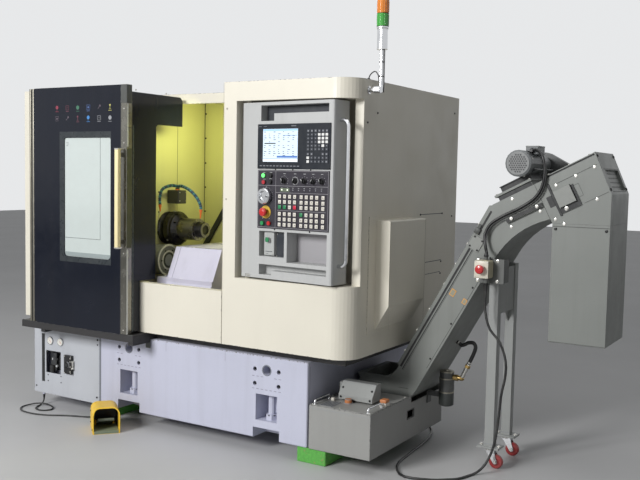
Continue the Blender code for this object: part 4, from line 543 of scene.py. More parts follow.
def dress_nodes():
    """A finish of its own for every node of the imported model; gives back the cords' rubber."""
    made = {}

    def wear(names, material):
        for name in names.split():
            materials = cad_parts[name].data.materials
            materials.clear()
            materials.append(material)
            made[name] = material

    for name, (label, colour, width, coat) in PAINTS.items():
        wear(name, paint(label, tone(*colour), name, width, **coat))
    # Inside the chamber's corners the cream takes a yellow-green tone: painted light of the chamber lamp.
    within(made["headstock_body"], *CHAMBER, CREAM, tone(206, 204, 148))
    within(made["stop_box"], *STOP_BOX, tone(96, 98, 96), tone(200, 193, 166))
    for label, (names, colour, relief, values, shader) in MOULDED.items():
        wear(names, finish(label, "plastic", {"Plastic": tone(*colour), **values}, relief, **shader))
    for label, (names, colour, relief, values, metallic) in BRUSHED.items():
        wear(names, finish(label, "metal", {"Metal": tone(*colour), **values}, relief, metallic=metallic))
    for name in ("timber_left", "timber_right"):
        values = {"Paint": tone(96, 176, 78), "Wood": tone(150, 128, 92)}
        wear(name, finish("green_" + name, "timber", values, 0.6, 0.0015))
    return made["conveyor_lead"]


def smooth_path(points, count):
    """Evenly numbered points on a smooth curve through the points given."""
    knots = [Vector(p) for p in points]
    knots = [knots[0] * 2 - knots[1]] + knots + [knots[-1] * 2 - knots[-2]]
    spans = len(knots) - 3
    path = []
    for i in range(count):
        at = i * spans / (count - 1)
        k = min(int(at), spans - 1)
        t = at - k
        a, b, c, d = knots[k : k + 4]
        curve = 2 * b + (c - a) * t
        curve = curve + (2 * a - 5 * b + 4 * c - d) * t**2
        curve = curve + (3 * b - a - 3 * c + d) * t**3
        path.append(0.5 * curve)
    return path


def round_line(name, path, radius, material, resolution=3):
    """A round cable or bar along a path of the machine's points, riding on the machine."""
    line = bpy.data.curves.new(name, "CURVE")
    line.dimensions = "3D"
    line.bevel_depth = radius
    line.bevel_resolution = resolution
    line.use_fill_caps = True
    spline = line.splines.new("POLY")
    spline.points.add(len(path) - 1)
    for point, at in zip(spline.points, path):
        point.co = (*(CORNER + at), 1.0)
    line.materials.append(material)
    made = bpy.data.objects.new(name, line)
    bpy.context.scene.collection.objects.link(made)
    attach(made, "machine")
    return made


def pipe(name, path, radius, look, resolution=3):
    """A round line with one of the shared finishes."""
    own_slot, material = LOOK[look]
    return round_line(name, path, radius, material, resolution)


def lay_cord(name, cad_node, route, radius, material):
    """A cord on its route, kept clear of the floor; the CAD node it replaces is hidden."""
    path = smooth_path(route, CORD_POINTS)
    for point in path:
        point.z = max(point.z, radius + FLOOR_GAP)
    made = round_line(name, path, radius, material)
    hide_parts(cad_node)


def clear():
    """Leaves edit mode with nothing selected."""
    if bpy.context.mode != "OBJECT":
        bpy.ops.object.mode_set(mode="OBJECT")
    bpy.ops.object.select_all(action="DESELECT")


def hold(shape):
    """Makes one shape the only one selected."""
    clear()
    shape.select_set(True)
    bpy.context.view_layer.objects.active = shape


def open_on(shape, test=None):
    """Opens a shape in edit mode with the faces selected whose middle and normal pass the test."""
    hold(shape)
    bpy.ops.object.mode_set(mode="EDIT")
    bpy.ops.mesh.select_mode(type="FACE")
    bpy.ops.mesh.select_all(action="DESELECT")
    bpy.ops.object.mode_set(mode="OBJECT")
    for face in shape.data.polygons:
        face.select = test is None or bool(test(face.center, face.normal))
    bpy.ops.object.mode_set(mode="EDIT")


def block(name, low, high, edge=0.001, segments=1):
    """A block or sheet between two corners, with its edges broken."""
    clear()
    low, high = Vector(low), Vector(high)
    bpy.ops.mesh.primitive_cube_add(size=1.0, location=(low + high) / 2)
    shape = bpy.context.object
    shape.name = name
    shape.scale = high - low
    bpy.ops.object.transform_apply(location=True, rotation=True, scale=True)
    edge = min(edge, 0.45 * min(high - low))
    open_on(shape)
    bpy.ops.mesh.bevel(offset=edge, segments=segments, affect="EDGES")
    bpy.ops.object.mode_set(mode="OBJECT")
    return shape


def turned(name, start, axis, rings, sides=24):
    """A round piece: a disc drawn out along an axis through rings of (distance, radius)."""
    clear()
    start, axis = Vector(start), Vector(axis).normalized()
    turn = axis.to_track_quat("Z", "Y").to_euler()
    far, wide = rings[0]
    bpy.ops.mesh.primitive_circle_add(
        vertices=sides, radius=wide, fill_type="NGON", location=start + axis * far, rotation=turn
    )
    shape = bpy.context.object
    shape.name = name
    bpy.ops.object.transform_apply(location=True, rotation=True, scale=True)
    open_on(shape)
    for (before, wide), (after, next_wide) in zip(rings, rings[1:]):
        bpy.ops.mesh.extrude_region_move(TRANSFORM_OT_translate={"value": axis * (after - before)})
        if next_wide != wide:
            ratio = next_wide / wide
            bpy.ops.transform.resize(value=(ratio,) * 3, center_override=start + axis * after)
    bpy.ops.mesh.select_all(action="SELECT")
    bpy.ops.mesh.normals_make_consistent(inside=False)
    bpy.ops.object.mode_set(mode="OBJECT")
    return shape


def rod(name, start, end, radius, sides=16, edge=0.0008):
    """A round bar between two points with its two rims broken."""
    start, end = Vector(start), Vector(end)
    length = (end - start).length
    edge = min(edge, radius * 0.4, length * 0.3)
    rings = [(0.0, radius - edge), (edge, radius), (length - edge, radius), (length, radius - edge)]
    return turned(name, start, end - start, rings, sides)


def ring(name, centre, axis, inner, outer, height, sides=32, edge=0.0004):
    """A flat ring: a disc with its middle inset and drawn back through it."""
    rings = [(0.0, outer), (height - edge, outer), (height, outer - edge), (height, inner + edge)]
    shape = turned(name, centre, axis, rings + [(height - edge, inner), (0.0002, inner)], sides)
    return shape


def hoop(name, centre, axis, inner, outer, height, sides=32):
    """An open ring: a disc with a round hole cut through it."""
    centre, axis = Vector(centre), Vector(axis).normalized()
    edge = min(0.0004, height * 0.3)
    disc = turned(
        name, centre, axis, [(0.0, outer), (height - edge, outer), (height, outer - edge)], sides,
    )
    hole = turned("hole", centre - axis * 0.01, axis, [(0.0, inner), (height + 0.02, inner)], sides)
    return carved(disc, hole)


def joined(name, shapes):
    """Several modelled shapes made one piece."""
    clear()
    for shape in shapes:
        shape.select_set(True)
    bpy.context.view_layer.objects.active = shapes[0]
    if len(shapes) > 1:
        bpy.ops.object.join()
    shapes[0].name = name
    return shapes[0]


def spot(point, facing, size=1.0, turn=0.0):
    """A place for a copy: its point, the way its top faces, its turn and its size."""
    aim = Vector(facing).to_track_quat("Z", "Y").to_matrix().to_4x4()
    return Matrix.Translation(point) @ aim @ Matrix.Rotation(turn, 4, "Z") @ Matrix.Scale(size, 4)


def on_circle(centre, radius, turn):
    """A point of a circle that faces the front."""
    return Vector(centre) + Vector((math.cos(turn), 0, math.sin(turn))) * radius


def around(centre, radius, first, count, size=1.0):
    """Spots on a circle that faces right, the first of them so many degrees on."""
    turns = [math.radians(first + 360 / count * i) for i in range(count)]
    rim = [Vector(centre) + Vector((0, math.cos(a), math.sin(a))) * radius for a in turns]
    return [spot(point, RIGHT, size) for point in rim]


def repeated(name, pattern, spots):
    """Copies of one modelled shape, each with its own mesh, joined as one piece."""
    copies = []
    for where in spots:
        copy = pattern.copy()
        copy.data = pattern.data.copy()
        copy.data.transform(where)
        bpy.context.scene.collection.objects.link(copy)
        copies.append(copy)
    piece = joined(name, copies)
    bpy.data.objects.remove(pattern)
    return piece


def strip(name, start, end, facing, width=0.0016, proud=0.0006):
    """A thin flat strip between two points of a face, a little proud of it."""
    start, end = Vector(start), Vector(end)
    out = Vector(facing).normalized()
    along = end - start
    length = along.length
    along.normalize()
    shape = block(name, (0.0, -width / 2, -0.0003), (length, width / 2, proud), 0.0002)
    turn = Matrix((along, out.cross(along), out)).transposed().to_4x4()
    shape.data.transform(Matrix.Translation(start) @ turn)
    return shape


def strips(name, lines, facing, width, proud):
    """Strips along several lines of one face, each line a start and an end."""
    return [strip(name, start, end, facing, width, proud) for start, end in lines]


def blocks(name, corners, *edge):
    """Several blocks of one kind, each from its low to its high corner."""
    return [block(name, low, high, *edge) for low, high in corners]


def carved(shape, cutter):
    """Takes one shape out of another."""
    hold(shape)
    step = shape.modifiers.new("carve", "BOOLEAN")
    step.object = cutter
    step.solver = "EXACT"
    bpy.ops.object.modifier_apply(modifier=step.name)
    bpy.data.objects.remove(cutter)
    return shape


def settle(shape, look, body="machine", where=TO_FRAME):
    """Moves a finished piece to the model's frame, gives it its look and seats it on its body."""
    own_slot, material = LOOK[look]
    hold(shape)
    bpy.ops.object.shade_smooth_by_angle(angle=SMOOTH_ANGLE)
    shape.data.transform(where)
    shape.data.materials.clear()
    shape.data.materials.append(material)
    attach(shape, body)
    return shape


def fit(name, shapes, look, body="machine", where=TO_FRAME):
    """Joins shapes to one piece and settles it."""
    return settle(joined(name, shapes), look, body, where)


def scatter(name, pattern, spots, look, body="machine", slot=None, where=TO_FRAME):
    """Puts copies of one shape at the spots and settles them as one piece."""
    return settle(repeated(name, pattern, spots), look, body, where)


def screws(name, spots, look, *rest, **more):
    """Socket screws at the spots, as one piece."""
    return scatter(name, screw_head(), spots, look, *rest, **more)


def bolts(name, spots, look, *rest, **more):
    """Hexagon bolts at the spots, as one piece."""
    return scatter(name, hex_bolt(), spots, look, *rest, **more)


def screw_head(name="screw_pattern"):
    """A socket screw's head, its top facing up, 10 mm across."""
    rings = [(0.0, 0.005), (0.0024, 0.005), (0.0031, 0.0043), (0.0031, 0.0026), (0.0014, 0.0024)]
    return turned(name, (0, 0, 0), (0, 0, 1), rings, 12)


def hex_bolt(name="bolt_pattern"):
    """A hexagon bolt's head on its washer, 17 mm across."""
    washer = turned("washer", (0, 0, 0), (0, 0, 1), [(0.0, 0.0085), (0.001, 0.0085), (0.0012, 0.008)], 16)
    head = turned(name, (0, 0, 0.0012), (0, 0, 1), [(0.0, 0.0062), (0.0035, 0.0062), (0.0042, 0.0054)], 6)
    return joined(name, [head, washer])




# Look: its slot in the record, its material's name, its colour and its gloss
PLASTICS = {
    # The dark look is the colour of real seams and gaps, and also painted shade: discs and sheets for
    # holes, slots and recesses, and shadow lines.
    "dark": ("dark_paint", "seam_dark_and_shade", (30, 31, 33), 0.5),
    "black": ("black_plastic", "satin_black", (24, 24, 26), 0.35),
    "rubber_strip": ("cable_rubber", "edge_rubber", (20, 20, 22), 0.55),
    "cream_key": ("cream_paint", "cream_key", (214, 209, 199), 0.42),
    "white_key": ("black_plastic", "white_key", (226, 226, 224), 0.4),
    "grey_key_and_glint": ("black_plastic", "grey_key_and_glint", (132, 134, 140), 0.42),
    "legend": ("black_plastic", "key_legend", (58, 56, 62), 0.5),
    "green_key": ("green_plastic", "green_key", (38, 128, 78), 0.36),
    "red_key": ("red_plastic", "red_key", (206, 28, 62), 0.36),
    "silver_line": ("switch_plastic", "printed_silver", (150, 148, 152), 0.45),
    "white_mark": ("black_plastic", "printed_white_and_glint", (206, 208, 208), 0.5),
    "yellow": ("black_plastic", "safety_yellow", (214, 178, 62), 0.4),
    "orange": ("hose_teal", "nozzle_orange", (222, 112, 42), 0.4),
    "blue_bead": ("hose_teal", "bead_blue", (30, 62, 92), 0.3),
    "teal_bead": ("hose_teal", "bead_teal", (58, 128, 134), 0.3),
    "bar_cream": ("trim_aluminium", "handle_cream", (240, 226, 176), 0.32),
    "dial_white_and_highlight": ("hub_grey_paint", "dial_white_and_highlight", (232, 230, 222), 0.3),
    "red": ("red_plastic", "needle_red", (196, 34, 36), 0.4),
    "surround": ("bezel_plastic", "window_surround_ink", (38, 44, 48), 0.3),
    "pane_line": ("window_glass", "pane_edge", (92, 98, 98), 0.3),
    "pane_shade": ("window_glass", "pane_lower_bevel_shade", (150, 160, 160), 0.2),
    "olive": ("dark_paint", "olive_backing", (70, 72, 52), 0.5),
    "pale_strip": ("trim_aluminium", "pale_edge_strip", (206, 208, 206), 0.4),
    "door_fold": ("door_paint", "folded_edge_paint", (62, 72, 74), 0.3),
    "sign_rose": ("bezel_plastic", "sign_rose", (140, 58, 76), 0.4),
    "sign_dim": ("bezel_plastic", "sign_dim_red", (112, 62, 76), 0.4),
    "sign_green": ("bezel_plastic", "sign_green", (64, 112, 90), 0.4),
    "sign_blue": ("bezel_plastic", "sign_blue", (82, 104, 152), 0.4),
    "sign_faint": ("bezel_plastic", "sign_faint", (92, 82, 92), 0.4),
    "sign_yellow": ("bezel_plastic", "sign_yellow", (196, 190, 112), 0.4),
    "sign_bright_blue": ("bezel_plastic", "sign_bright_blue", (70, 132, 196), 0.4),
    "sign_grey": ("bezel_plastic", "sign_grey", (150, 152, 156), 0.4),
    "wall_line": ("cream_paint", "wall_seam", (118, 116, 92), 0.5),
    "lavender_line": ("lavender_paint", "cover_seam_shade", (132, 130, 148), 0.5),
    "screen_ink": ("bezel_plastic", "screen_ink", (20, 22, 30), 0.3),
    "screen_entry": ("bezel_plastic", "screen_entry", (44, 56, 86), 0.3),
    "key_dark": ("black_plastic", "key_dark", (42, 47, 56), 0.42),
    "button_red": ("black_plastic", "button_red", (178, 40, 52), 0.3),
    "lamp_patch": ("switch_plastic", "lamp_patch", (96, 108, 88), 0.5),
    "reader_plate": ("panel_grey_paint", "reader_plate", (176, 178, 176), 0.42),
    "card_door": ("bezel_plastic", "card_door", (40, 44, 51), 0.36),
    "pocket_back": ("panel_grey_paint", "pocket_back", (160, 158, 161), 0.45),
    "slot_shade": ("bezel_plastic", "slot_shade", (38, 42, 49), 0.45),
    "cover_edge": ("cream_paint", "cover_joint", (168, 163, 148), 0.45),
    "lens_green": ("green_lens", "lens_rib_green", (54, 160, 56), 0.16),
    "lens_amber": ("amber_lens", "lens_rib_amber", (224, 128, 40), 0.16),
    "bowl_grey": ("dark_paint", "filter_bowl_grey", (52, 56, 54), 0.34),
    "hose_black": ("cable_rubber", "hose_black", (22, 22, 23), 0.42),
    "conveyor_line": ("conveyor_paint", "conveyor_fold", (74, 76, 74), 0.5),
    "conveyor_pale": ("conveyor_paint", "conveyor_plate", (140, 142, 138), 0.45),
    "motor_pale": ("motor_paint", "motor_cowl", (128, 130, 130), 0.42),
    "cream_box": ("cream_paint", "stop_box_cream", (214, 209, 192), 0.36),
    "wheel_hub": ("red_plastic", "wheel_hub_red", (120, 30, 30), 0.4),
    "tread": ("black_plastic", "tread_rib", (84, 94, 84), 0.55),
    "plate_orange": ("conveyor_paint", "plate_rim_orange", (224, 160, 66), 0.4),
    "plate_middle": ("conveyor_paint", "plate_middle_grey", (150, 146, 126), 0.45),
    "dull_orange": ("hose_teal", "cap_orange", (196, 124, 76), 0.45),
    "olive_grey": ("black_plastic", "pedal_base_grey", (120, 130, 108), 0.5),
    "flange_grey": ("lavender_paint", "flange_grey", (120, 124, 132), 0.4),
    "grey": ("tank_paint", "trim_grey", (150, 152, 155), 0.42),
    "dark_grey": ("dark_paint", "bracket_grey", (70, 72, 70), 0.45),
}

# Look: slot, material, colour, dullness and brush lines
METALS = {
    "chrome": ("chrome_bar", "bright_chrome", (222, 223, 225), 0.08, 0.03),
    "zinc": ("chuck_steel", "zinc_plate", (214, 212, 206), 0.2, 0.08),
    "black_screw": ("chuck_steel", "blackened_steel", (58, 58, 58), 0.3, 0.08),
    "brass": ("chuck_steel", "plumbing_brass", (188, 160, 104), 0.24, 0.08),
    "nose": ("chuck_steel", "collet_nose_steel", (122, 120, 116), 0.18, 0.14),
    "lamp_silver": ("chrome_bar", "lamp_silver", (206, 206, 204), 0.22, 0.08),
    "alloy": ("chuck_steel", "cast_alloy", (150, 146, 134), 0.34, 0.08),
}

# Look: slot, material, colour and strength of its light
LIGHTS = {
    "screen_pale": ("bezel_plastic", "screen_pale", (200, 216, 232), 0.4),
    "screen_sky": ("bezel_plastic", "screen_sky", (150, 190, 226), 0.5),
    "screen_blue": ("bezel_plastic", "screen_blue", (70, 110, 176), 0.4),
    "screen_white": ("bezel_plastic", "screen_white", (240, 244, 246), 0.5),
    "lit_white": ("black_plastic", "lit_white", (240, 246, 226), 1.6),
    "lit_green": ("black_plastic", "lit_green", (104, 226, 120), 1.0),
}


def make_finishes():
    """The shared finishes: for each look its slot in the record and its material."""
    looks = {}
    for look, (slot, name, colour, gloss) in PLASTICS.items():
        values = {"Plastic": tone(*colour), "Dusty": 0.05, "Gloss": gloss}
        looks[look] = (slot, finish(name, "plastic", values, 0.06))
    for look, (slot, name, colour, dull, lines) in METALS.items():
        values = {"Metal": tone(*colour), "Dull": dull, "Lines": lines}
        looks[look] = (slot, finish(name, "metal", values, 0.08, metallic=1.0))
    for look, (slot, name, colour, strength) in LIGHTS.items():
        looks[look] = (slot, glowing(name, tone(*colour), strength))
    return looks


def glowing(name, colour, strength):
    """A lit surface: a lamp dot or a part of the screen, with a slight cloud in its light."""
    made = finish(
        name, "plastic", {"Plastic": colour, "Dusty": 0.0, "Gloss": 0.16, "Grain": 1800.0}, 0.02,
    )
    tree = made.node_tree
    shader = tree.nodes["Principled BSDF"]
    where = object_place(tree)
    cloud = ramp(tree, noise(tree, where, 14.0, 2.0), 0.3, 0.7, 0.94, 1.0)
    light = scaled(tree, colour[:3], cloud)
    tree.links.new(light, shader.inputs["Emission Color"])
    shader.inputs["Emission Strength"].default_value = strength
    return made


def dress_door():
    """The sliding door: window surround and its panes' edges, trims, handle and printed signs."""
    front = DOOR_FACE
    surround = block(
        "window_surround", (0.3565, front - 0.0008, 0.834), (0.7185, front + 0.002, 1.497), 0.0006,
    )
    hole = block("window_hole", (0.3905, front - 0.02, 0.8615), (0.7155, front + 0.02, 1.4665), 0.012, 3)
    settle(carved(surround, hole), "surround", "door")

    glass = -0.0942
    lines = [
        block("pane_edge_right", (0.64, glass - 0.0006, 0.959), (0.642, glass + 0.0004, 1.464), 0.0003),
        block("pane_edge_low", (0.393, glass - 0.0006, 0.957), (0.642, glass + 0.0004, 0.959), 0.0003),
        block("pane_mark_1", (0.402, glass - 0.0004, 1.442), (0.418, glass + 0.0004, 1.4436), 0.0002),
        block("pane_mark_2", (0.402, glass - 0.0004, 1.434), (0.422, glass + 0.0004, 1.4356), 0.0002),
        block("pane_mark_3", (0.402, glass - 0.0004, 1.426), (0.415, glass + 0.0004, 1.4276), 0.0002),
    ]
    fit("window_pane_edges", lines, "pane_line", "door")
    # The window's lower bevel is a darker strip: painted shade.
    foot = block(
        "window_lower_bevel", (0.3935, glass - 0.0009, 0.864), (0.7135, glass + 0.0004, 0.885), 0.0009,
    )
    settle(foot, "pane_shade", "door")

    trims = [
        block("left_trim_outer", (0.129, -0.0975, 0.497), (0.14, -0.066, 1.721), 0.002, 2),
        block("left_trim_inner", (0.15, -0.0975, 0.497), (0.1615, -0.066, 1.721), 0.002, 2),
    ]
    fit("door_left_trim", trims, "alloy", "door")
    gap = block("door_trim_gap", (0.1395, -0.092, 0.498), (0.1505, -0.066, 1.72), 0.0006)
    settle(gap, "dark", "door")

    bar = block("door_pull_bar", (0.7852, -0.1446, 0.9255), (0.8088, -0.1214, 1.4125), 0.004, 3)
    settle(bar, "bar_cream", "door")
    ends = [
        block("pull_end_low", (0.7848, -0.1449, 0.925), (0.8092, -0.1019, 0.933), 0.0012),
        block("pull_end_high", (0.7848, -0.1449, 1.405), (0.8092, -0.1019, 1.413), 0.0012),
    ]
    fit("door_pull_ends", ends, "zinc", "door")
    backing = block("door_pull_backing", (0.8243, -0.1, 0.928), (0.8262, -0.0665, 1.414), 0.0008)
    settle(backing, "olive", "door")
    lines = [
        block("low_line", (0.8251, -0.099, 0.4985), (0.8259, -0.089, 0.92), 0.0003),
        block("high_line", (0.8251, -0.099, 1.422), (0.8259, -0.089, 1.63), 0.0003),
    ]
    fit("door_edge_line", lines, "pale_strip", "door")
    cap = block("door_edge_cap", (0.785, -0.1018, 1.632), (0.8262, -0.0655, 1.7215), 0.0015)
    settle(cap, "dark_grey", "door")
    # A thin dark line down the door's edge: painted shadow.
    shadow_line = block("door_edge_shadow_line", (0.7842, -0.1014, 0.4985), (0.7878, -0.1006, 1.63), 0.0003)
    settle(shadow_line, "dark", "door")

    corners = [(0.808, -0.1012, z) for z in (0.52, 0.9, 1.44, 1.605)]
    heads = [spot(p, FRONT, 0.8) for p in corners]
    screws("door_edge_screws", heads, "zinc", "door", slot="trim_aluminium")
    heads = [spot((0.8255, y, 1.7), RIGHT, 0.9) for y in (-0.04, 0.18)]
    screws("door_hood_screws", heads, "zinc", "door")
    rails = block("door_return_fold", (0.825, -0.06, 0.508), (0.8262, -0.052, 1.527), 0.0004)
    settle(rails, "door_fold", "door")
    dress_signs(front)


def dress_signs(front):
    """Twelve small pictograms over the window, each but the faint ones with a bar under it."""
    face = front - 0.0004

    def disc_ring(name, centre, radius, width):
        return ring(name, centre, FRONT, radius - width, radius, 0.0005, 20, 0.0001)

    def bar(name, x0, z0, x1, z1, width=0.0016):
        return strip(name, (x0, face, z0), (x1, face, z1), FRONT, width, 0.0005)

    def box(x, z, half):
        low, high = (x - half, z - half), (x + half, z + half)
        return [
            bar("side", low[0], low[1], high[0], low[1]), bar("side", low[0], high[1], high[0], high[1]),
            bar("side", low[0], low[1], low[0], high[1]), bar("side", high[0], low[1], high[0], high[1]),
        ]

    upper = (0.339, 0.414, 0.488, 0.562, 0.637, 0.711)
    kinds = (("sign_rose", "sign_dim", "sign_green", "sign_blue", "sign_faint", "sign_yellow"),
             ("sign_faint", "sign_faint", "sign_dim", "sign_bright_blue", "sign_grey", "sign_grey"))
    order = (*kinds[0], "sign_bright_blue", "sign_grey")
    signs = {kind: [] for kind in order}
    for row, (level, names) in enumerate(zip((1.617, 1.5635), kinds)):
        for column, (x, kind) in enumerate(zip(upper, names)):
            parts = signs[kind]
            shape = (column + row * 3) % 6
            if shape == 0:
                parts += [disc_ring("bulb", (x, face, level + 0.003), 0.0095, 0.002)]
                parts += [bar("stem", x - 0.004, level - 0.01, x + 0.004, level - 0.01)]
            elif shape == 1:
                parts += box(x, level, 0.0105) + [bar("level", x - 0.006, level, x + 0.006, level)]
            elif shape == 2:
                parts += [disc_ring("turn", (x, face, level), 0.0105, 0.0022)]
                parts += [
                    bar("hand", x, level, x + 0.005, level + 0.005),
                    bar("hand", x, level, x, level - 0.006),
                ]
            elif shape == 3:
                parts += box(x, level, 0.0115) + [disc_ring("dot", (x, face, level), 0.0055, 0.0022)]
            elif shape == 4:
                parts += [bar("arm", x - 0.009, level - 0.009, x + 0.006, level + 0.006, 0.003)]
                parts += [disc_ring("eye", (x + 0.006, face, level + 0.006), 0.0055, 0.002)]
            else:
                parts += [bar("post", x, level - 0.01, x, level + 0.008, 0.0025)]
                parts += [disc_ring("cap", (x, face, level + 0.008), 0.005, 0.002)]
                parts += [bar("foot", x - 0.007, level - 0.01, x + 0.007, level - 0.01)]
            if kind != "sign_faint":
                parts += [bar("under", x - 0.011, level - 0.018, x + 0.011, level - 0.018, 0.0022)]
    for kind, parts in signs.items():
        fit(kind, parts, kind, "door")


def dress_chamber():
    """Inside the chamber: seams, screws, segmented hoses, a painted highlight on the hub's rim and the
    chuck's bright parts.
    """
    rear = 0.6498
    seam = block("chamber_corner_seam", (0.7006, rear - 0.0012, 0.93), (0.7042, rear, 1.688), 0.0004)
    settle(seam, "dark")
    holes = [spot((0.7095, rear, z), FRONT, 0.95) for z in (1.632, 1.496, 1.357, 1.221, 1.085)]
    holes += [spot((0.7002, 0.269, z), RIGHT, 0.8) for z in (1.196, 1.09)]
    screws("chamber_screws", holes, "black_screw", slot="dark_paint")
    seam = block("chamber_wall_seam", (0.7002, 0.4165, 1.0), (0.7012, 0.419, 1.688), 0.0004)
    settle(seam, "wall_line")

    wall = 0.7003
    top = 1.2193
    route = [
        (wall + 0.055, 0.222, 1.095), (wall + 0.05, 0.224, 1.13), (wall + 0.042, 0.232, 1.175),
        (wall + 0.036, 0.262, 1.214), (wall + 0.042, 0.318, 1.231), (wall + 0.045, 0.368, top + 0.008),
        (wall + 0.09, 0.35, 1.229), (wall + 0.16, 0.316, 1.216), (wall + 0.205, 0.304, 1.196),
        (wall + 0.245, 0.3, 1.158), (wall + 0.262, 0.3, 1.115), (wall + 0.247, 0.3, 1.068),
    ]
    path = smooth_path(route, 400)
    lengths = [0.0]
    for a, b in zip(path, path[1:]):
        lengths.append(lengths[-1] + (b - a).length)

    def along(distance):
        k = min(max(next(i for i, l in enumerate(lengths) if l >= distance), 1), len(path) - 2)
        return path[k], (path[k + 1] - path[k - 1]).normalized()

    total = lengths[-1]
    step = 0.0098
    first, last = 0.036, total - 0.046
    count = int((last - first) / step)
    spots = []
    for i in range(count):
        point, way = along(first + i * step)
        spots.append(spot(point, way))
    rings = [(-0.0005, 0.0052), (0.0012, 0.0078), (0.004, 0.0086), (0.0068, 0.0078), (0.0098, 0.005)]
    blue = [s for i, s in enumerate(spots) if i % 3 != 1]
    teal = [s for i, s in enumerate(spots) if i % 3 == 1]
    beads = repeated("hose_beads_blue", turned("bead", (0, 0, 0), UP, rings, 14), blue)
    settle(beads, "blue_bead")
    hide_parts("coolant_hose")
    settle(repeated("hose_beads_teal", turned("bead", (0, 0, 0), UP, rings, 14), teal), "teal_bead")
    nozzles = []
    for distance, sign in ((0.037, -1), (total - 0.047, 1)):
        point, way = along(distance)
        length = 0.036 if sign < 0 else 0.046
        rings = [(0.0, 0.007), (0.001, 0.0082), (0.011, 0.0082), (0.014, 0.0058), (length * 0.8, 0.0036)]
        nozzles.append(
            turned("nozzle", point, way * sign, rings + [(length, 0.003), (length, 0.0018)], 14)
        )
    fit("hose_nozzles", nozzles, "orange")
    point, way = along(0.0)
    thin = smooth_path(
        [tuple(point + way * 0.002), (0.741, 0.224, 1.075), (0.722, 0.24, 1.03), (0.706, 0.258, 0.99)],
        24,
    )
    pipe("drip_pipe", thin, 0.0018, "zinc")
    collar = turned(
        "hose_collar", (wall + 0.045, 0.368, 1.2075), UP,
        [(0.0, 0.0135), (0.004, 0.0135), (0.0055, 0.012)], 6,
    )
    settle(collar, "orange")
    clamp = [spot((0.7806, y, z), RIGHT, 0.6) for z in (1.15, 1.195) for y in (0.345, 0.392)]
    screws("coolant_block_screws", clamp, "zinc")

    hub = (0.7799, 0.262, 0.84)
    # The white ring on the hub's rim is a painted highlight along its chamfer.
    settle(ring("hub_rim_highlight", hub, RIGHT, 0.077, 0.0842, 0.0012, 48), "dial_white_and_highlight")
    settle(ring("hub_step", hub, RIGHT, 0.03, 0.042, 0.0015, 32), "dark_grey")
    settle(
        turned("hub_centre_plate", (0.7802, *hub[1:]), RIGHT, [(0.0, 0.0298), (0.0012, 0.0298)], 32),
        "grey",
    )
    screws("hub_bolts", around((0.7803, *hub[1:]), 0.056, 0, 6, 0.9), "black_screw")

    def axle(x):
        return (x, *SPINDLE_AXIS)

    face = around(axle(0.7755), 0.076, 0, 6, 1.3)
    side = []
    for i in range(3):
        a = math.radians(100 + 120 * i)
        out = Vector((0, math.cos(a), math.sin(a)))
        side.append(spot(Vector(axle(0.759)) + out * 0.0912, out, 1.1))
    screws("chuck_bolts", face + side, "zinc", "spindle")
    sleeve = [
        (0.0, 0.059), (0.0015, 0.0602), (0.03, 0.0602), (0.033, 0.0576), (0.137, 0.0576), (0.138, 0.056),
    ]
    settle(turned("collet_nose_sleeve", axle(0.776), RIGHT, sleeve, 40), "nose", "spindle")
    settle(hoop("collet_end_ring", axle(0.9571), RIGHT, 0.0255, 0.0392, 0.001), "nose", "spindle")
    cap = [(0.0, 0.0405), (0.001, 0.0412), (0.008, 0.0412), (0.009, 0.0402)]
    settle(turned("collet_cap_band", axle(0.945), RIGHT, cap, 36), "black_screw", "spindle")
    settle(ring("chuck_front_ring", axle(0.775), RIGHT, 0.06, 0.069, 0.0014, 40), "nose", "spindle")
    settle(ring("flange_edge_ring", axle(0.731), RIGHT, 0.083, 0.089, 0.0012, 48), "black_screw")

    seam = [
        strip("cover_seam", (0.918, 0.2, 0.9222), (0.918, 0.558, 0.9222), UP, 0.0022, 0.0006),
        strip(
            "cover_seam", (0.918, 0.129, 0.769), (0.918, 0.1995, 0.922), (0, -0.908, 0.419), 0.0022,
            0.0006,
        ),
    ]
    fit("carriage_cover_seams", seam, "lavender_line", "carriage")
    edge = block("carriage_wiper", (0.887, 0.199, 0.9222), (1.178, 0.203, 0.9236), 0.0004)
    settle(edge, "zinc", "carriage")


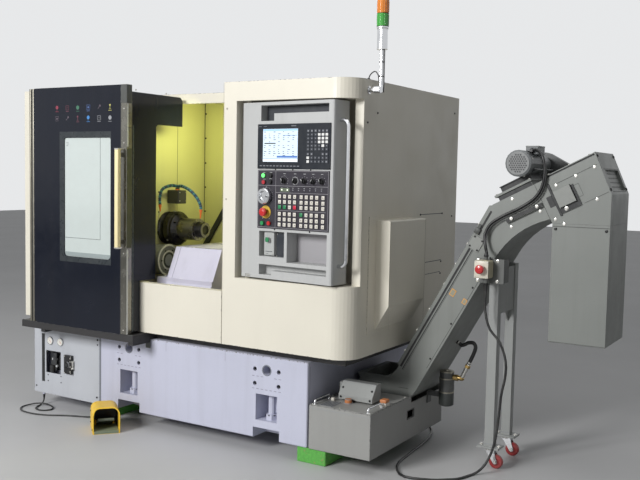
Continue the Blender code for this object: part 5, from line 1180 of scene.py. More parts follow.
def dress_panel():
    """The operator panel: screen, keypad, dials, lamps, keys, handwheel scale, buttons and fittings."""
    where = TO_FRAME @ PANEL @ Matrix.Translation((PANEL_LEFT, 0.0, -PANEL_FOOT))
    face = -0.0313

    def seat(shape, look):
        return settle(shape, look, "operator_panel", where)

    def seat_all(name, shapes, look):
        return seat(joined(name, shapes), look)

    def tab(name, x0, z0, x1, z1, y, thick=0.0006, edge=0.0002):
        return block(name, (x0, y - thick, z0), (x1, y + 0.0003, z1), edge)

    deep = -0.0293
    seat(tab("screen_glass", 0.1255, 1.3585, 0.3275, 1.5045, deep, 0.0007), "screen_pale")
    top = deep - 0.0008
    seat(tab("screen_title_bar", 0.127, 1.496, 0.326, 1.503, top, 0.0003), "screen_sky")
    blue = [
        tab("band", 0.208, 1.377, 0.325, 1.385, top, 0.0003),
        tab("rule", 0.243, 1.4745, 0.323, 1.4762, top, 0.0003),
        tab("rule", 0.127, 1.3715, 0.326, 1.3728, top, 0.0003),
    ]
    seat_all("screen_blue_bands", blue, "screen_blue")
    seat(tab("screen_cursor", 0.134, 1.438, 0.2, 1.4425, top, 0.0003), "screen_ink")
    seat(tab("screen_soft_row", 0.127, 1.36, 0.326, 1.37, top, 0.0003), "screen_white")
    marks = []
    widths = (0.01, 0.006, 0.014, 0.008, 0.012, 0.005, 0.009)
    for row in range(13):
        level = 1.49 - row * 0.0087
        if 1.435 < level < 1.446:
            continue
        start = 0.132
        for column in range(7):
            wide = widths[(row * 3 + column * 2) % 7]
            if (row + column * column) % 4 != 1:
                marks.append(tab("mark", start, level, start + wide, level + 0.0024, top, 0.0002, 0.0001))
            start += 0.0275
    for column in range(8):
        start = 0.13 + column * 0.0246
        marks.append(
            tab("soft", start + 0.004, 1.364, start + 0.017, 1.3655, top - 0.0003, 0.0002, 0.0001)
        )
    seat_all("screen_entries", marks, "screen_entry")
    frame_bars = [
        tab("bar", 0.1195, 1.505, 0.3335, 1.5075, face, 0.0006),
        tab("bar", 0.1195, 1.3545, 0.3335, 1.357, face, 0.0006),
        tab("bar", 0.1195, 1.3545, 0.1225, 1.5075, face, 0.0006),
        tab("bar", 0.3305, 1.3545, 0.3335, 1.5075, face, 0.0006),
    ]
    seat_all("screen_rim", frame_bars, "black")
    soft = [spot((0.116 + 0.0196 * i, face, 1.34), FRONT) for i in range(12)]
    pill = block("soft_key", (-0.0065, -0.0018, 0.0), (0.0065, 0.0018, 0.001), 0.0007, 2)
    seat(repeated("screen_soft_keys", pill, soft), "grey_key_and_glint")
    vent = [
        tab("slot", 0.1 + 0.03 * i, 1.515, 0.118 + 0.03 * i, 1.5165, face, 0.0004, 0.0001)
        for i in range(2)
    ]
    vent.append(tab("slot", 0.29, 1.515, 0.318, 1.518, face, 0.0004, 0.0001))
    seat_all("screen_frame_marks", vent, "grey_key_and_glint")

    pad = -0.0323
    columns = [0.388 + 0.0202 * i for i in range(6)]
    rows = [1.493, 1.477, 1.461, 1.445, 1.429, 1.414, 1.393, 1.377, 1.3605]
    caps, whites, dots = [], [], []
    pale = {
        (1, 3), (1, 4), (1, 5), (2, 3), (2, 4), (2, 5), (3, 3), (3, 4), (3, 5), (4, 4), (8, 0), (7, 0),
    }
    half = {(0, 0), (0, 1), (0, 2), (0, 3), (0, 4), (0, 5), (6, 0), (6, 1), (8, 5), (6, 4), (6, 5)}
    for r, level in enumerate(rows):
        for c, along in enumerate(columns):
            if r == 6 and c in (2, 3):
                continue
            caps.append(spot((along, pad, level), FRONT))
            if (r, c) in pale:
                whites.append(spot((along, pad - 0.0022, level), FRONT))
            elif (r, c) in half:
                dots.append(spot((along, pad - 0.0022, level), FRONT, 1.5))
            else:
                dots.append(spot((along, pad - 0.0022, level), FRONT, 0.9))
    key = block("pad_key", (-0.008, -0.0066, 0.0), (0.008, 0.0066, 0.0022), 0.0009)
    seat(repeated("keypad_keys", key, caps), "key_dark")
    key = block("pad_cap", (-0.007, -0.0056, -0.0002), (0.007, 0.0056, 0.0006), 0.0004)
    seat(repeated("keypad_white_caps", key, whites), "white_key")
    key = block("pad_mark", (-0.0026, -0.0022, -0.0002), (0.0026, 0.0022, 0.0003), 0.0001)
    seat(repeated("keypad_marks", key, dots), "grey_key_and_glint")

    lines = []
    for x0, z0, x1, z1 in (
        (0.1025, 1.318, 0.501, 1.318), (0.1025, 1.064, 0.501, 1.064), (0.1025, 1.064, 0.1025, 1.318),
        (0.5, 1.064, 0.5, 1.318), (0.206, 1.064, 0.206, 1.318), (0.1025, 1.252, 0.501, 1.252),
        (0.206, 1.2215, 0.501, 1.2215), (0.218, 1.1425, 0.488, 1.1425),
    ):
        lines.append(strip("line", (x0, face, z0), (x1, face, z1), FRONT, 0.0017, 0.0004))
    seat_all("switch_panel_lines", lines, "silver_line")

    def underline(along, level, half, width):
        start, end = (along - half, face, level), (along + half, face, level)
        return strip("name", start, end, FRONT, width, 0.0004)

    ticks = []
    for index, along in enumerate((0.256, 0.317, 0.37, 0.4175, 0.466)):
        count = (13, 3, 7, 9, 7)[index]
        reach = 0.0215 if index == 0 else 0.019
        for i in range(count):
            a = math.radians(215 - 250 * i / (count - 1)) if index != 1 else math.radians(125 - 35 * i)
            centre = on_circle((along, face, 1.2755), reach, a)
            out = Vector((math.cos(a), 0, math.sin(a))) * 0.0016
            ticks.append(strip("tick", centre - out, centre + out, FRONT, 0.0011, 0.0004))
        ticks.append(underline(along, 1.306, 0.0065, 0.0016))
    circle = hoop("ring", (0.317, face + 0.0002, 1.2755), FRONT, 0.016, 0.0174, 0.0006)
    for i in range(8):
        along = 0.242 + 0.0317 * i
        ticks.append(underline(along, 1.243, 0.004, 0.0013))
    for along, level in ((0.136, 1.2965), (0.177, 1.2975), (0.138, 1.2665), (0.175, 1.2685)):
        ticks.append(underline(along, level + 0.0135, 0.007, 0.0014))
    seat_all("switch_panel_marks", ticks + [circle], "white_mark")

    dots = [spot((0.242 + 0.0317 * i, face, 1.2345), FRONT) for i in range(8)]
    dome = [(0.0, 0.003), (0.0008, 0.003), (0.0013, 0.0022)]
    seat(repeated("lamp_dots_lit", turned("dot", (0, 0, 0), UP, dome, 12), dots[:2]), "lit_white")
    seat(repeated("lamp_dots_plain", turned("dot", (0, 0, 0), UP, dome, 12), dots[2:]), "grey_key_and_glint")
    seat(tab("lamp_patch", 0.232, 1.2265, 0.285, 1.243, face, 0.0003), "lamp_patch")

    for index, (along, turn) in enumerate(
        ((0.256, 125), (0.317, 60), (0.37, 135), (0.4175, 45), (0.466, 120))
    ):
        a = math.radians(turn)
        base = Vector((along, -0.0524, 1.2755))
        pointer = strip("pointer", base, on_circle(base, 0.011, a), FRONT, 0.002, 0.0005)
        pointer.name = f"selector_pointer_{index + 1}"
        settle(pointer, "white_mark", f"selector_{index + 1}", where=where)

    columns = [0.2325 + 0.0288 * i for i in range(4)] + [0.3555 + 0.0287 * i for i in range(4)] + [0.4755]
    rows = (1.205, 1.181, 1.158, 1.127, 1.103, 1.0795)
    green = {(2, 0), (2, 1), (3, 4)}
    caps, greens, reds, legends = [], [], [], []
    for r, level in enumerate(rows):
        for c, along in enumerate(columns):
            here = spot((along, -0.0343, level), FRONT)
            kind = greens if (r, c) in green else reds if (r, c) == (2, 3) else caps
            kind.append(here)
            if kind is caps:
                turn = math.radians(90 * ((r * 5 + c * 3) % 4))
                legends.append(spot((along + 0.0006, -0.0355, level), FRONT, turn=turn))
    sizes = [(-0.0083, -0.0083, -0.0026), (0.0083, 0.0083, 0.0012)]
    seat(repeated("cream_key_caps", block("key", *sizes, 0.0012, 2), caps), "cream_key")
    seat(repeated("green_key_caps", block("key", *sizes, 0.0012, 2), greens), "green_key")
    seat(repeated("red_key_cap", block("key", *sizes, 0.0012, 2), reds), "red_key")
    mark = joined("mark", blocks("mark", (
        ((-0.0034, -0.0022, -0.0002), (0.002, -0.0006, 0.0002)),
        ((-0.0034, -0.0006, -0.0002), (-0.0016, 0.003, 0.0002)),
    ), 0.0001))
    seat(repeated("key_legends", mark, legends), "legend")

    cap = [(0.0, 0.0092), (0.0012, 0.0097), (0.004, 0.0097), (0.0048, 0.0088)]
    for name, along, level, look in (
        ("lamp_button_green", 0.136, 1.2965, "lit_green"),
        ("push_button_black_1", 0.177, 1.2975, "black"),
        ("push_button_red", 0.138, 1.2665, "button_red"), ("push_button_black_2", 0.175, 1.2685, "black"),
    ):
        seat(turned(name, (along, -0.0352, level), FRONT, cap, 20), look)
    collars = [
        ring("collar", (along, face, level), FRONT, 0.0095, 0.0125, 0.0016, 24)
        for along, level in (
            (0.136, 1.2965), (0.177, 1.2975), (0.138, 1.2665), (0.175, 1.2685), (0.133, 1.081),
            (0.172, 1.082),
        )
    ]
    seat_all("button_collars", collars, "black")
    seat(ring("emergency_ring", (0.15, face, 1.132), FRONT, 0.0125, 0.029, 0.0022, 36), "yellow")
    arrows = []
    for i in range(3):
        a = math.radians(90 + 120 * i)
        for turn in (-0.34, 0.34):
            p = on_circle((0.15, face - 0.0022, 1.132), 0.0235, a)
            q = on_circle((0.15, face - 0.0022, 1.132), 0.026, a + turn)
            arrows.append(strip("arrow", p, q, FRONT, 0.0014, 0.0003))
    seat_all("emergency_ring_marks", arrows, "legend")
    # Grey dots over the two lower buttons are painted glints.
    glints = [
        spot((along, face - 0.001, level), FRONT, 0.9)
        for along, level in ((0.133, 1.1035), (0.172, 1.1035))
    ]
    seat(repeated("button_glints", turned("dot", (0, 0, 0), UP, dome, 12), glints), "grey_key_and_glint")

    scale = []
    for i in range(40):
        a = math.radians(9 * i)
        inner = 0.0385 if i % 5 else 0.037
        p = on_circle((0.15, face, 1.2035), inner, a)
        q = on_circle((0.15, face, 1.2035), 0.0415, a)
        scale.append(strip("scale", p, q, FRONT, 0.0009, 0.0004))
    seat_all("handwheel_scale", scale, "white_mark")
    seat(
        tab("handwheel_pointer", 0.149, 1.242, 0.151, 1.248, face, 0.0006), "white_mark",
    )

    heads = [spot((along, face, level), FRONT, 0.55) for along, level in (
        (0.1003, 1.52), (0.5015, 1.52), (0.1003, 1.333), (0.5015, 1.333))]
    heads += [spot((along, -0.027, level), FRONT, 0.7) for along, level in (
        (0.3, 1.3245), (0.2, 1.3245), (0.4, 1.3245), (0.2, 1.0545), (0.4, 1.0545))]
    seat(repeated("panel_screws", screw_head(), heads), "black_screw")

    reader = [
        block("reader_button", (0.1425, -0.025, 0.996), (0.1635, -0.0225, 1.016), 0.003, 2),
        block("reader_slot", (0.133, -0.0098, 0.95), (0.174, -0.0088, 0.953), 0.0003),
        block("reader_foot", (0.133, -0.0098, 0.94), (0.15, -0.0088, 0.942), 0.0003),
    ]
    seat_all("reader_marks", reader, "key_dark")
    seat(
        turned(
            "reader_green_button", (0.153, -0.0228, 1.006), FRONT,
            [(0.0, 0.0112), (0.0024, 0.0112), (0.0036, 0.0096)], 24,
        ),
        "green_key",
    )
    front_plate = block("reader_plate", (0.1245, -0.0097, 0.9345), (0.1825, -0.0088, 1.0405), 0.0008)
    seat(front_plate, "reader_plate")
    seat(block("card_door", (0.1915, -0.0022, 0.9295), (0.2505, -0.0008, 1.0375), 0.0012), "card_door")
    lid_heads = [
        spot((along, -0.0024, level), FRONT, 0.5)
        for along, level in ((0.196, 0.934), (0.246, 0.934), (0.196, 1.033), (0.246, 1.033))
    ]
    lid_heads += [spot((0.176, -0.0098, 0.94), FRONT, 0.5)]
    seat(repeated("card_door_screws", screw_head(), lid_heads), "zinc")
    back = block("pocket_back_plate", (0.273, 0.0465, 0.911), (0.493, 0.0478, 1.045), 0.0004)
    seat(back, "pocket_back")
    # Dark sheets at the back of the top slot: painted shade inside the slot.
    dark = blocks("slot_shade", (
        ((0.111, 0.0166, 1.542), (0.186, 0.0178, 1.61)),
        ((0.186, 0.0166, 1.575), (0.492, 0.0178, 1.61)),
    ), 0.0004)
    seat_all("top_slot_shade", dark, "slot_shade")
    catch = block("panel_catch", (0.026, -0.0292, 0.832), (0.056, -0.0268, 0.842), 0.001)
    seat(catch, "zinc")
    flanges = []
    for level in (1.54, 0.91):
        flanges.append(
            turned(
                "flange", (0.5063, 0.02, level), (1, 0, 0),
                [(0.0, 0.015), (0.003, 0.015), (0.0045, 0.0125)], 24,
            )
        )
    seat_all("panel_handle_flanges", flanges, "chrome")


SLOPE_LOW, SLOPE_UP, SLOPE_OUT = Vector((2.127, 0.0, 0.28)), Vector((0.4909, 0.0, 0.8712)), Vector(
    (-0.8712, 0.0, 0.4909)
)
HEAD_LOW, HEAD_ALONG, HEAD_OVER = Vector((2.745, 0.0, 1.135)), Vector((0.891, 0.0, 0.454)), Vector(
    (-0.454, 0.0, 0.891)
)


def tilted(corner, along, over):
    """The turn of a part of the conveyor: X along it, Y to the rear, Z square off its lower line."""
    return TO_FRAME @ Matrix.Translation(corner) @ Matrix((along, (0, 1, 0), over)).transposed().to_4x4()


def dress_base():
    """The casting's service panel, gauges, socket, lifting pockets, hooks and seams."""
    face = BASE_FRONT
    border = [
        strip("edge", (0.0015, face, 0.09), (0.0015, face, 0.459), FRONT, 0.0022, 0.0005),
        strip("edge", (0.001, face, 0.4585), (0.4985, face, 0.4585), FRONT, 0.0016, 0.0005),
    ]
    fit("service_panel_edges", border, "grey")
    settle(block("service_panel_gap", (0.4984, 0.0405, 0.0705), (0.5004, 0.044, 0.46), 0.0003), "dark")
    flange = block("casting_flange", (0.5005, 0.0386, 0.0705), (0.5125, 0.0403, 0.46), 0.0006)
    settle(flange, "flange_grey")
    heads = [spot((x, face, z), FRONT, s) for x, z, s in (
        (
            0.487, 0.412, 1.0,
        ), (0.487, 0.386, 0.8), (0.483, 0.104, 1.0), (0.018, 0.43, 0.9), (0.018, 0.104, 0.9))]
    screws("service_panel_screws", heads, "black_screw")
    plugs = [
        spot((x, face, z), FRONT, 0.7)
        for x, z in ((0.11, 0.176), (0.11, 0.143), (0.211, 0.179), (0.211, 0.145))
    ]
    plug = turned("plug", (0, 0, 0), UP, [(0.0, 0.005), (0.002, 0.005), (0.003, 0.0036)], 12)
    scatter("service_panel_plugs", plug, plugs, "dark", slot="black_plastic")

    dials, bezels, ticks, needles = [], [], [], []
    for x, z in ((0.129, 0.368), (0.208, 0.369)):
        dials.append(
            turned("dial", (x, 0.0362, z), FRONT, [(0.0, 0.02), (0.0006, 0.02), (0.0008, 0.0196)], 28)
        )
        bezels.append(ring("bezel", (x, 0.0362, z), FRONT, 0.019, 0.0218, 0.0026, 28, 0.0006))
        for i in range(11):
            a = math.radians(225 - 27 * i)
            long = 0.0028 if i % 5 == 0 else 0.0018
            p = on_circle((x, 0.0354, z), 0.0172, a)
            q = on_circle((x, 0.0354, z), 0.0172 - long, a)
            ticks.append(strip("tick", q, p, FRONT, 0.0008, 0.0003))
        needles.append(
            strip(
                "needle", (x - 0.002, 0.0353, z + 0.003), (x + 0.007, 0.0353, z - 0.009), FRONT, 0.0011,
                0.0006,
            )
        )
        needles.append(turned("pin", (x, 0.0354, z), FRONT, [(0.0, 0.002), (0.001, 0.0018)], 12))
    fit("gauge_dials", dials, "dial_white_and_highlight")
    fit("gauge_bezels", bezels, "chrome")
    fit("gauge_ticks", ticks, "black")
    fit("gauge_needles", needles, "red")

    bits = [
        rod("regulator_knob", (0.127, 0.06, 0.2995), (0.127, 0.06, 0.311), 0.015, 20, 0.002),
        rod("bowl", (0.127, 0.058, 0.1905), (0.127, 0.058, 0.23), 0.017, 20, 0.003),
        block("unit_plate", (0.16, 0.0705, 0.214), (0.192, 0.0745, 0.272), 0.0015),
        rod("fitting", (0.15, 0.066, 0.262), (0.162, 0.066, 0.262), 0.006, 12),
    ]
    fit("regulator_parts", bits, "black")
    # The small white plate, nut and tag among the black parts are painted glints.
    pale = [
        block("plate", (0.12, 0.0585, 0.256), (0.126, 0.0602, 0.268), 0.0006),
        rod("nut", (0.152, 0.06, 0.224), (0.152, 0.07, 0.224), 0.0065, 6),
        block("tag", (0.176, 0.0695, 0.222), (0.188, 0.0708, 0.23), 0.0004),
    ]
    fit("regulator_glints", pale, "white_mark")
    hose = smooth_path(
        [(0.198, 0.075, 0.205), (0.206, 0.073, 0.235), (0.203, 0.072, 0.27), (0.19, 0.076, 0.296)], 20,
    )
    pipe("service_bay_pipe", hose, 0.0035, "black")
    # A dark sheet at the back of the service slot: painted shade inside the slot.
    well = block("service_slot_shade", (0.0605, 0.0425, 0.1345), (0.0835, 0.0435, 0.4015), 0.0004)
    settle(well, "dark")

    settle(block("socket_cover", (0.2496, 0.0234, 0.2046), (0.3074, 0.04, 0.3064), 0.0025, 2), "black")
    centre = Vector((0.2785, 0.0141, 0.2555))
    settle(
        ring("socket_rim", centre, FRONT, 0.0105, 0.016, 0.001, 28), "black_screw",
    )
    settle(
        turned("socket_core", (0.2785, 0.0142, 0.2555), FRONT, [(0.0, 0.0104), (0.0004, 0.0104)], 24),
        "dark",
    )
    lever = [
        block("latch", (0.3075, 0.025, 0.232), (0.314, 0.034, 0.279), 0.002, 2),
        rod("latch_pin", (0.3105, 0.022, 0.236), (0.3105, 0.04, 0.236), 0.0042),
        rod("latch_pin", (0.3105, 0.022, 0.275), (0.3105, 0.04, 0.275), 0.0042),
    ]
    lever += [
        block("contact", (0.296, 0.0205, z), (0.304, 0.024, z + 0.008), 0.001)
        for z in (0.216, 0.242, 0.27, 0.288)
    ]
    fit("socket_latch", lever, "zinc")
    corners = [spot((x, 0.0241, z), FRONT, 0.55) for x in (0.2555, 0.3015) for z in (0.2105, 0.3005)]
    screws("socket_screws", corners, "zinc")

    marks = []
    for x in POCKET_CENTRES:
        for level in (0.363, 0.304):
            for i in range(7):
                left = x - 0.083 + i * 0.025
                if abs(left + 0.007 - x) < 0.026 and level > 0.34:
                    continue
                marks.append(
                    strip("dash", (left, face, level), (left + 0.014, face, level), FRONT, 0.0026, 0.0004)
                )
    fit("lifting_marks", marks, "lavender_line")
    collars = [hoop("collar", (x, face, 0.396), FRONT, 0.022, 0.0262, 0.0012) for x in POCKET_CENTRES]
    fit("lifting_hole_rims", collars, "flange_grey")
    # Dark discs at the floors of the lifting holes: painted shade inside the holes.
    wells = [
        turned("well", (x, 0.099, 0.396), FRONT, [(0.0, 0.0219), (0.001, 0.0219)], 28)
        for x in POCKET_CENTRES
    ]
    fit("lifting_hole_floors", wells, "dark")
    heads = [
        spot((x + side * 0.067, face + 0.0119, z), FRONT, 1.6)
        for x in POCKET_CENTRES for side in (-1, 1) for z in (0.396, 0.328)
    ]
    screws("cover_bolts", heads, "black_screw")
    nuts = []
    for x in POCKET_CENTRES:
        nuts.append(rod("thread", (x, 0.0895, 0.24), (x, 0.0895, 0.279), 0.0125, 20))
        nuts.append(
            turned("nut", (x, 0.0895, 0.1765), UP, [(0.0, 0.0285), (0.002, 0.03), (0.004, 0.027)], 6)
        )
    fit("levelling_bolts", nuts, "black_screw")
    tabs = blocks("tab", (
        ((0.146, 0.0335, 0.445), (0.19, 0.0362, 0.459)),
        ((0.83, 0.0335, 0.415), (0.86, 0.0362, 0.459)),
    ), 0.001)
    fit("rail_hook_plates", tabs, "dark_grey")
    under = [spot((x, 0.0395, 0.4485), FRONT, 1.3) for x in (0.636, 0.776)]
    bolts("rail_bolts", under, "black_screw")
    seams = [
        strip("seam", (1.7962, 0.06, 0.15), (1.7962, 0.06, 0.44), RIGHT, 0.0022, 0.0005),
        strip("seam", (0.96, face, 0.459), (0.96, face, 0.41), FRONT, 0.0014, 0.0004),
        strip("seam", (1.33, face, 0.459), (1.33, face, 0.41), FRONT, 0.0014, 0.0004),
    ]
    fit("casting_seams", seams, "lavender_line")
    runner = block("rail_top_strip", (0.062, -0.0925, 0.4945), (0.86, -0.0895, 0.4985), 0.0006)
    settle(runner, "dark_grey")


def dress_enclosure():
    """Seams, screws, plugs, cover folds and front joints of the sheet enclosure."""
    side = 2.0273
    seams = [
        strip("seam", (side, 0.692, 1.118), (side, 0.949, 1.118), RIGHT, 0.003, 0.0005),
        strip("seam", (side, 0.762, 0.876), (side, 0.954, 0.876), RIGHT, 0.003, 0.0005),
        strip("seam", (side, 0.766, 0.815), (side, 0.949, 0.815), RIGHT, 0.0022, 0.0005),
    ]
    fit("right_side_slots", seams, "dark")
    heads = [spot((side, y, z), RIGHT, 0.9) for y, z in (
        (0.688, 1.118), (0.953, 1.118), (0.954, 0.868), (0.949, 0.806), (0.212, 1.582), (0.121, 1.535),
        (1.08, 1.64), (1.08, 1.1), (1.08, 0.58), (
            0.165, 1.113,
        ), (0.6, 1.113), (0.165, 0.607), (0.6, 0.607))]
    screws("right_side_screws", heads, "black_screw")
    folds = strips("fold", (
        ((2.1002, 0.225, 0.62), (2.1002, 0.225, 1.103)),
        ((2.1002, 0.595, 0.62), (2.1002, 0.595, 1.103)),
    ), RIGHT, 0.002, 0.0004)
    fit("side_cover_folds", folds, "cover_edge")
    plug = turned("plug", (0, 0, 0), UP, [(0.0, 0.005), (0.0012, 0.005), (0.0022, 0.0036)], 14)
    dots = [spot((1.3555, 0.0, 1.183), FRONT, 0.9), spot((1.3555, 0.0, 1.6), FRONT, 0.9)]
    scatter("front_plugs", plug, dots, "cover_edge")
    joint = strips("joint", (
        ((0.83, 0.0, 0.7524), (1.334, 0.0, 0.7524)),
        ((1.3352, 0.0, 0.5), (1.3352, 0.0, 1.72)),
    ), FRONT, 0.0014, 0.0004)
    fit("front_joints", joint, "cover_edge")


def dress_lamp():
    """The signal lamp's cable, bracket parts and the rings between its lenses."""
    x, y = 2.0743, 0.15
    cable = smooth_path([
        (2.0095, 0.1535, 1.7245), (2.016, 0.152, 1.74), (2.03, 0.151, 1.753), (2.045, 0.15, 1.756),
        (2.057, 0.15, 1.742), (2.0615, 0.15, 1.725), (2.062, 0.15, 1.712),
    ], 30)
    pipe("lamp_roof_lead", cable, 0.0026, "black")
    gland = turned(
        "gland", (2.0095, 0.1535, 1.7224), UP,
        [(0.0, 0.0085), (0.003, 0.0085), (0.0045, 0.006), (0.0075, 0.0055)], 12,
    )
    settle(gland, "black")
    line = smooth_path(
        [(2.0868, 0.149, 1.666), (2.0872, 0.149, 1.71), (2.0872, 0.149, 1.79), (2.0868, 0.15, 1.844)], 24,
    )
    pipe("lamp_pole_lead", line, 0.0024, "black")
    ties = [
        ring("tie", (x, y - 0.0002, level), UP, 0.0096, 0.0112, 0.004, 24)
        for level in (1.732, 1.793)
    ]
    fit("lamp_pole_ties", ties, "black")
    rings = [
        ring("ring", (x, y, 1.9446), UP, 0.0235, 0.0264, 0.0022, 32, 0.0006),
        ring("ring", (x, y, 2.0003), UP, 0.0235, 0.0263, 0.0018, 32, 0.0006),
    ]
    fit("lamp_rings", rings, "black")
    collar = [
        ring("collar", (x, y, 1.848), UP, 0.0098, 0.0236, 0.003, 32, 0.0008),
        ring("collar", (x, y, 1.934), UP, 0.0228, 0.0246, 0.003, 32, 0.0006),
    ]
    fit("lamp_collars", collar, "lamp_silver")
    for colour, low, high in (("green", 1.95, 1.996), ("amber", 2.006, 2.052)):
        ribs = []
        for i in range(24):
            a = math.radians(15 * i)
            out = Vector((math.cos(a), math.sin(a), 0))
            foot = Vector((x, y, 0)) + out * 0.0261
            ribs.append(
                strip("rib", foot + Vector((0, 0, low)), foot + Vector((0, 0, high)), out, 0.0012, 0.0004)
            )
        fit(colour + "_lens_ribs", ribs, "lens_" + colour)
    screws("lamp_bracket_screws", around((2.0318, 0.126, 1.675), 0.0125, 45, 4, 0.42), "black_screw")


def dress_tank():
    """The tank's lid with its sieve tray, handles, connector, pump hood screws and level window."""
    top = 0.2754
    settle(
        block("lid_tray_plate", (1.852, 0.052, top - 0.0006), (1.92, 0.144, top + 0.0012), 0.0008),
        "grey",
    )
    holes = []
    for i in range(5):
        for j in range(7):
            holes.append(spot((1.86 + 0.013 * i, 0.06 + 0.0128 * j, top + 0.0012), UP))
    # Dark discs stand for the tray's holes: painted shade seen through them.
    dot = turned("hole", (0, 0, 0), UP, [(0.0, 0.0042), (0.0004, 0.0042)], 12)
    scatter("lid_tray_holes", dot, holes, "dark")
    heads = [spot((x, y, top - 0.0001), UP, 0.9) for x, y in (
        (1.818, 0.4), (2.108, 0.4), (1.818, 0.23), (1.818, 0.052), (2.108, 0.052), (1.96, 0.05))]
    screws("lid_screws", heads, "zinc")
    for label, x in (("left", 1.828), ("right", 2.099)):
        front, rear, bend, rise = 0.054, 0.18, 0.012, 0.2953
        quarter = [math.radians(9 * i) for i in range(11)]
        path = [Vector((x, front, top + 0.0004))]
        path += [
            Vector((x, front + bend - bend * math.cos(a), rise - bend + bend * math.sin(a)))
            for a in quarter
        ]
        path += [
            Vector((x, rear - bend + bend * math.sin(a), rise - bend + bend * math.cos(a)))
            for a in quarter
        ]
        path += [Vector((x, rear, top + 0.0004))]
        pipe("lid_handle_" + label, path, 0.0048, "chrome", resolution=5)
    feet = [
        ring("foot", (x, y, top - 0.0002), UP, 0.005, 0.0095, 0.0022, 24)
        for x in (1.828, 2.099) for y in (0.054, 0.18)
    ]
    fit("lid_handle_feet", feet, "chrome")
    base = block("lid_connector_base", (2.0842, 0.1892, top), (2.1158, 0.2288, 0.2905), 0.002, 2)
    settle(base, "cream_key")
    hood = block("lid_connector_hood", (2.0847, 0.1897, 0.2903), (2.1153, 0.2283, 0.3062), 0.003, 2)
    settle(hood, "dull_orange")
    drum = [(0.0, 0.0162), (0.016, 0.0162), (0.019, 0.014), (0.0198, 0.014)]
    settle(turned("pump_priming_cap", (1.944, 0.155, top + 0.0004), UP, drum, 28), "dull_orange")
    settle(ring("pump_priming_rim", (1.944, 0.155, top), UP, 0.016, 0.0205, 0.003, 28), "grey")
    slope = Vector((0, -0.055, 0.04)).normalized()
    heads = [spot((x, 0.2, 0.3325), slope) for x in (1.89, 2.04)]
    heads += [spot((x, 0.1798, 0.294), FRONT) for x in (1.89, 2.04)]
    screws("pump_hood_screws", heads, "black_screw")
    rib = strip("pump_hood_rib", (1.88, 0.22, 0.3602), (2.05, 0.22, 0.3602), UP, 0.003, 0.0005)
    settle(rib, "grey")
    # Dark slits stand for the hood's vents: painted shade behind them.
    vents = [
        block("vent", (1.8544, 0.2262 + 0.005 * i, 0.29), (1.8552, 0.2284 + 0.005 * i, 0.34), 0.0003)
        for i in range(6)
    ]
    fit("pump_vents", vents, "dark")
    frame_bars = blocks("bar", (
        ((2.1188, 0.404, 0.168), (2.1212, 0.482, 0.172)),
        ((2.1188, 0.404, 0.208), (2.1212, 0.482, 0.212)),
        ((2.1188, 0.404, 0.168), (2.1212, 0.408, 0.212)),
        ((2.1188, 0.478, 0.168), (2.1212, 0.482, 0.212)),
    ), 0.0004)
    fit("level_window_frame", frame_bars, "dark_grey")
    seam = [
        strip("seam", (1.8065, 0.0398, 0.26), (2.1195, 0.0398, 0.26), FRONT, 0.002, 0.0004),
        strip("seam", (2.1202, 0.042, 0.26), (2.1202, 0.448, 0.26), RIGHT, 0.002, 0.0004),
    ]
    fit("tank_rim_fold", seam, "grey")
    bracket = block("lid_small_bracket", (1.856, 0.148, top), (1.872, 0.164, top + 0.014), 0.0015)
    settle(bracket, "cream_key")


def dress_filter():
    """The filter's bowl, bands and brass fittings, and its short hose."""
    x, y = 2.215, 0.64
    bowl = [(0.0, 0.03), (0.005, 0.0361), (0.06, 0.0361), (0.064, 0.035)]
    settle(turned("filter_bowl", (x, y, 0.204), UP, bowl, 36), "bowl_grey")
    bands = [
        ring("band", (x, y, level), UP, 0.0345, 0.0372, 0.006, 36, 0.0008)
        for level in (0.268, 0.334)
    ]
    fit("filter_bands", bands, "alloy")
    cap = [(0.0, 0.03), (0.001, 0.0345), (0.006, 0.0345), (0.008, 0.03), (0.0082, 0.012), (0.013, 0.0115)]
    settle(turned("filter_cap", (x, y, 0.366), UP, cap, 36), "alloy")
    lean = Vector((0.4233, 0.0, 0.906))
    top = Vector((2.325, 0.64, 0.42))
    brass = [
        rod("hex", (x + 0.0358, y, 0.345), (x + 0.0582, y, 0.345), 0.0153, 6),
        rod("stub", (x + 0.033, y, 0.345), (x + 0.081, y, 0.345), 0.0113, 24),
        turned(
            "nut", top - lean * 0.022, lean,
            [(0.0, 0.012), (0.001, 0.0134), (0.014, 0.0134), (0.015, 0.012)], 6,
        ),
        turned(
            "nut", top - lean * 0.088, lean,
            [(0.0, 0.012), (0.001, 0.0134), (0.012, 0.0134), (0.013, 0.011)], 6,
        ),
    ]
    fit("filter_fittings", brass, "brass")
    settle(rod("filter_pipe", top - lean * 0.086, top, 0.0102, 24), "zinc")
    meet_x = 2.262
    meet = Vector((meet_x, y, 0.5196))
    away = Vector((0.8712, 0.0, -0.4909))
    route = [top + lean * step for step in (0.0003, 0.01, 0.02)]
    route += [
        Vector(p)
        for p in (
            (2.35, y, 0.478), (2.356, y, 0.505), (2.345, y, 0.523), (2.318, y, 0.5205), (2.3, y, 0.5095),
            (2.2864, y, 0.5059),
        )
    ]
    route += [meet + away * step for step in (0.018, 0.009, 0.0003)]
    hose = pipe("filter_return_hose", smooth_path(route, 120), 0.009, "hose_black", resolution=5)
    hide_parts("filter_hose")
    clips = [
        ring("clip", top + lean * 0.004, lean, 0.0088, 0.0106, 0.007, 28),
        ring("clip", meet + away * 0.014, -away, 0.0088, 0.0106, 0.007, 28),
    ]
    fit("filter_hose_clips", clips, "zinc")


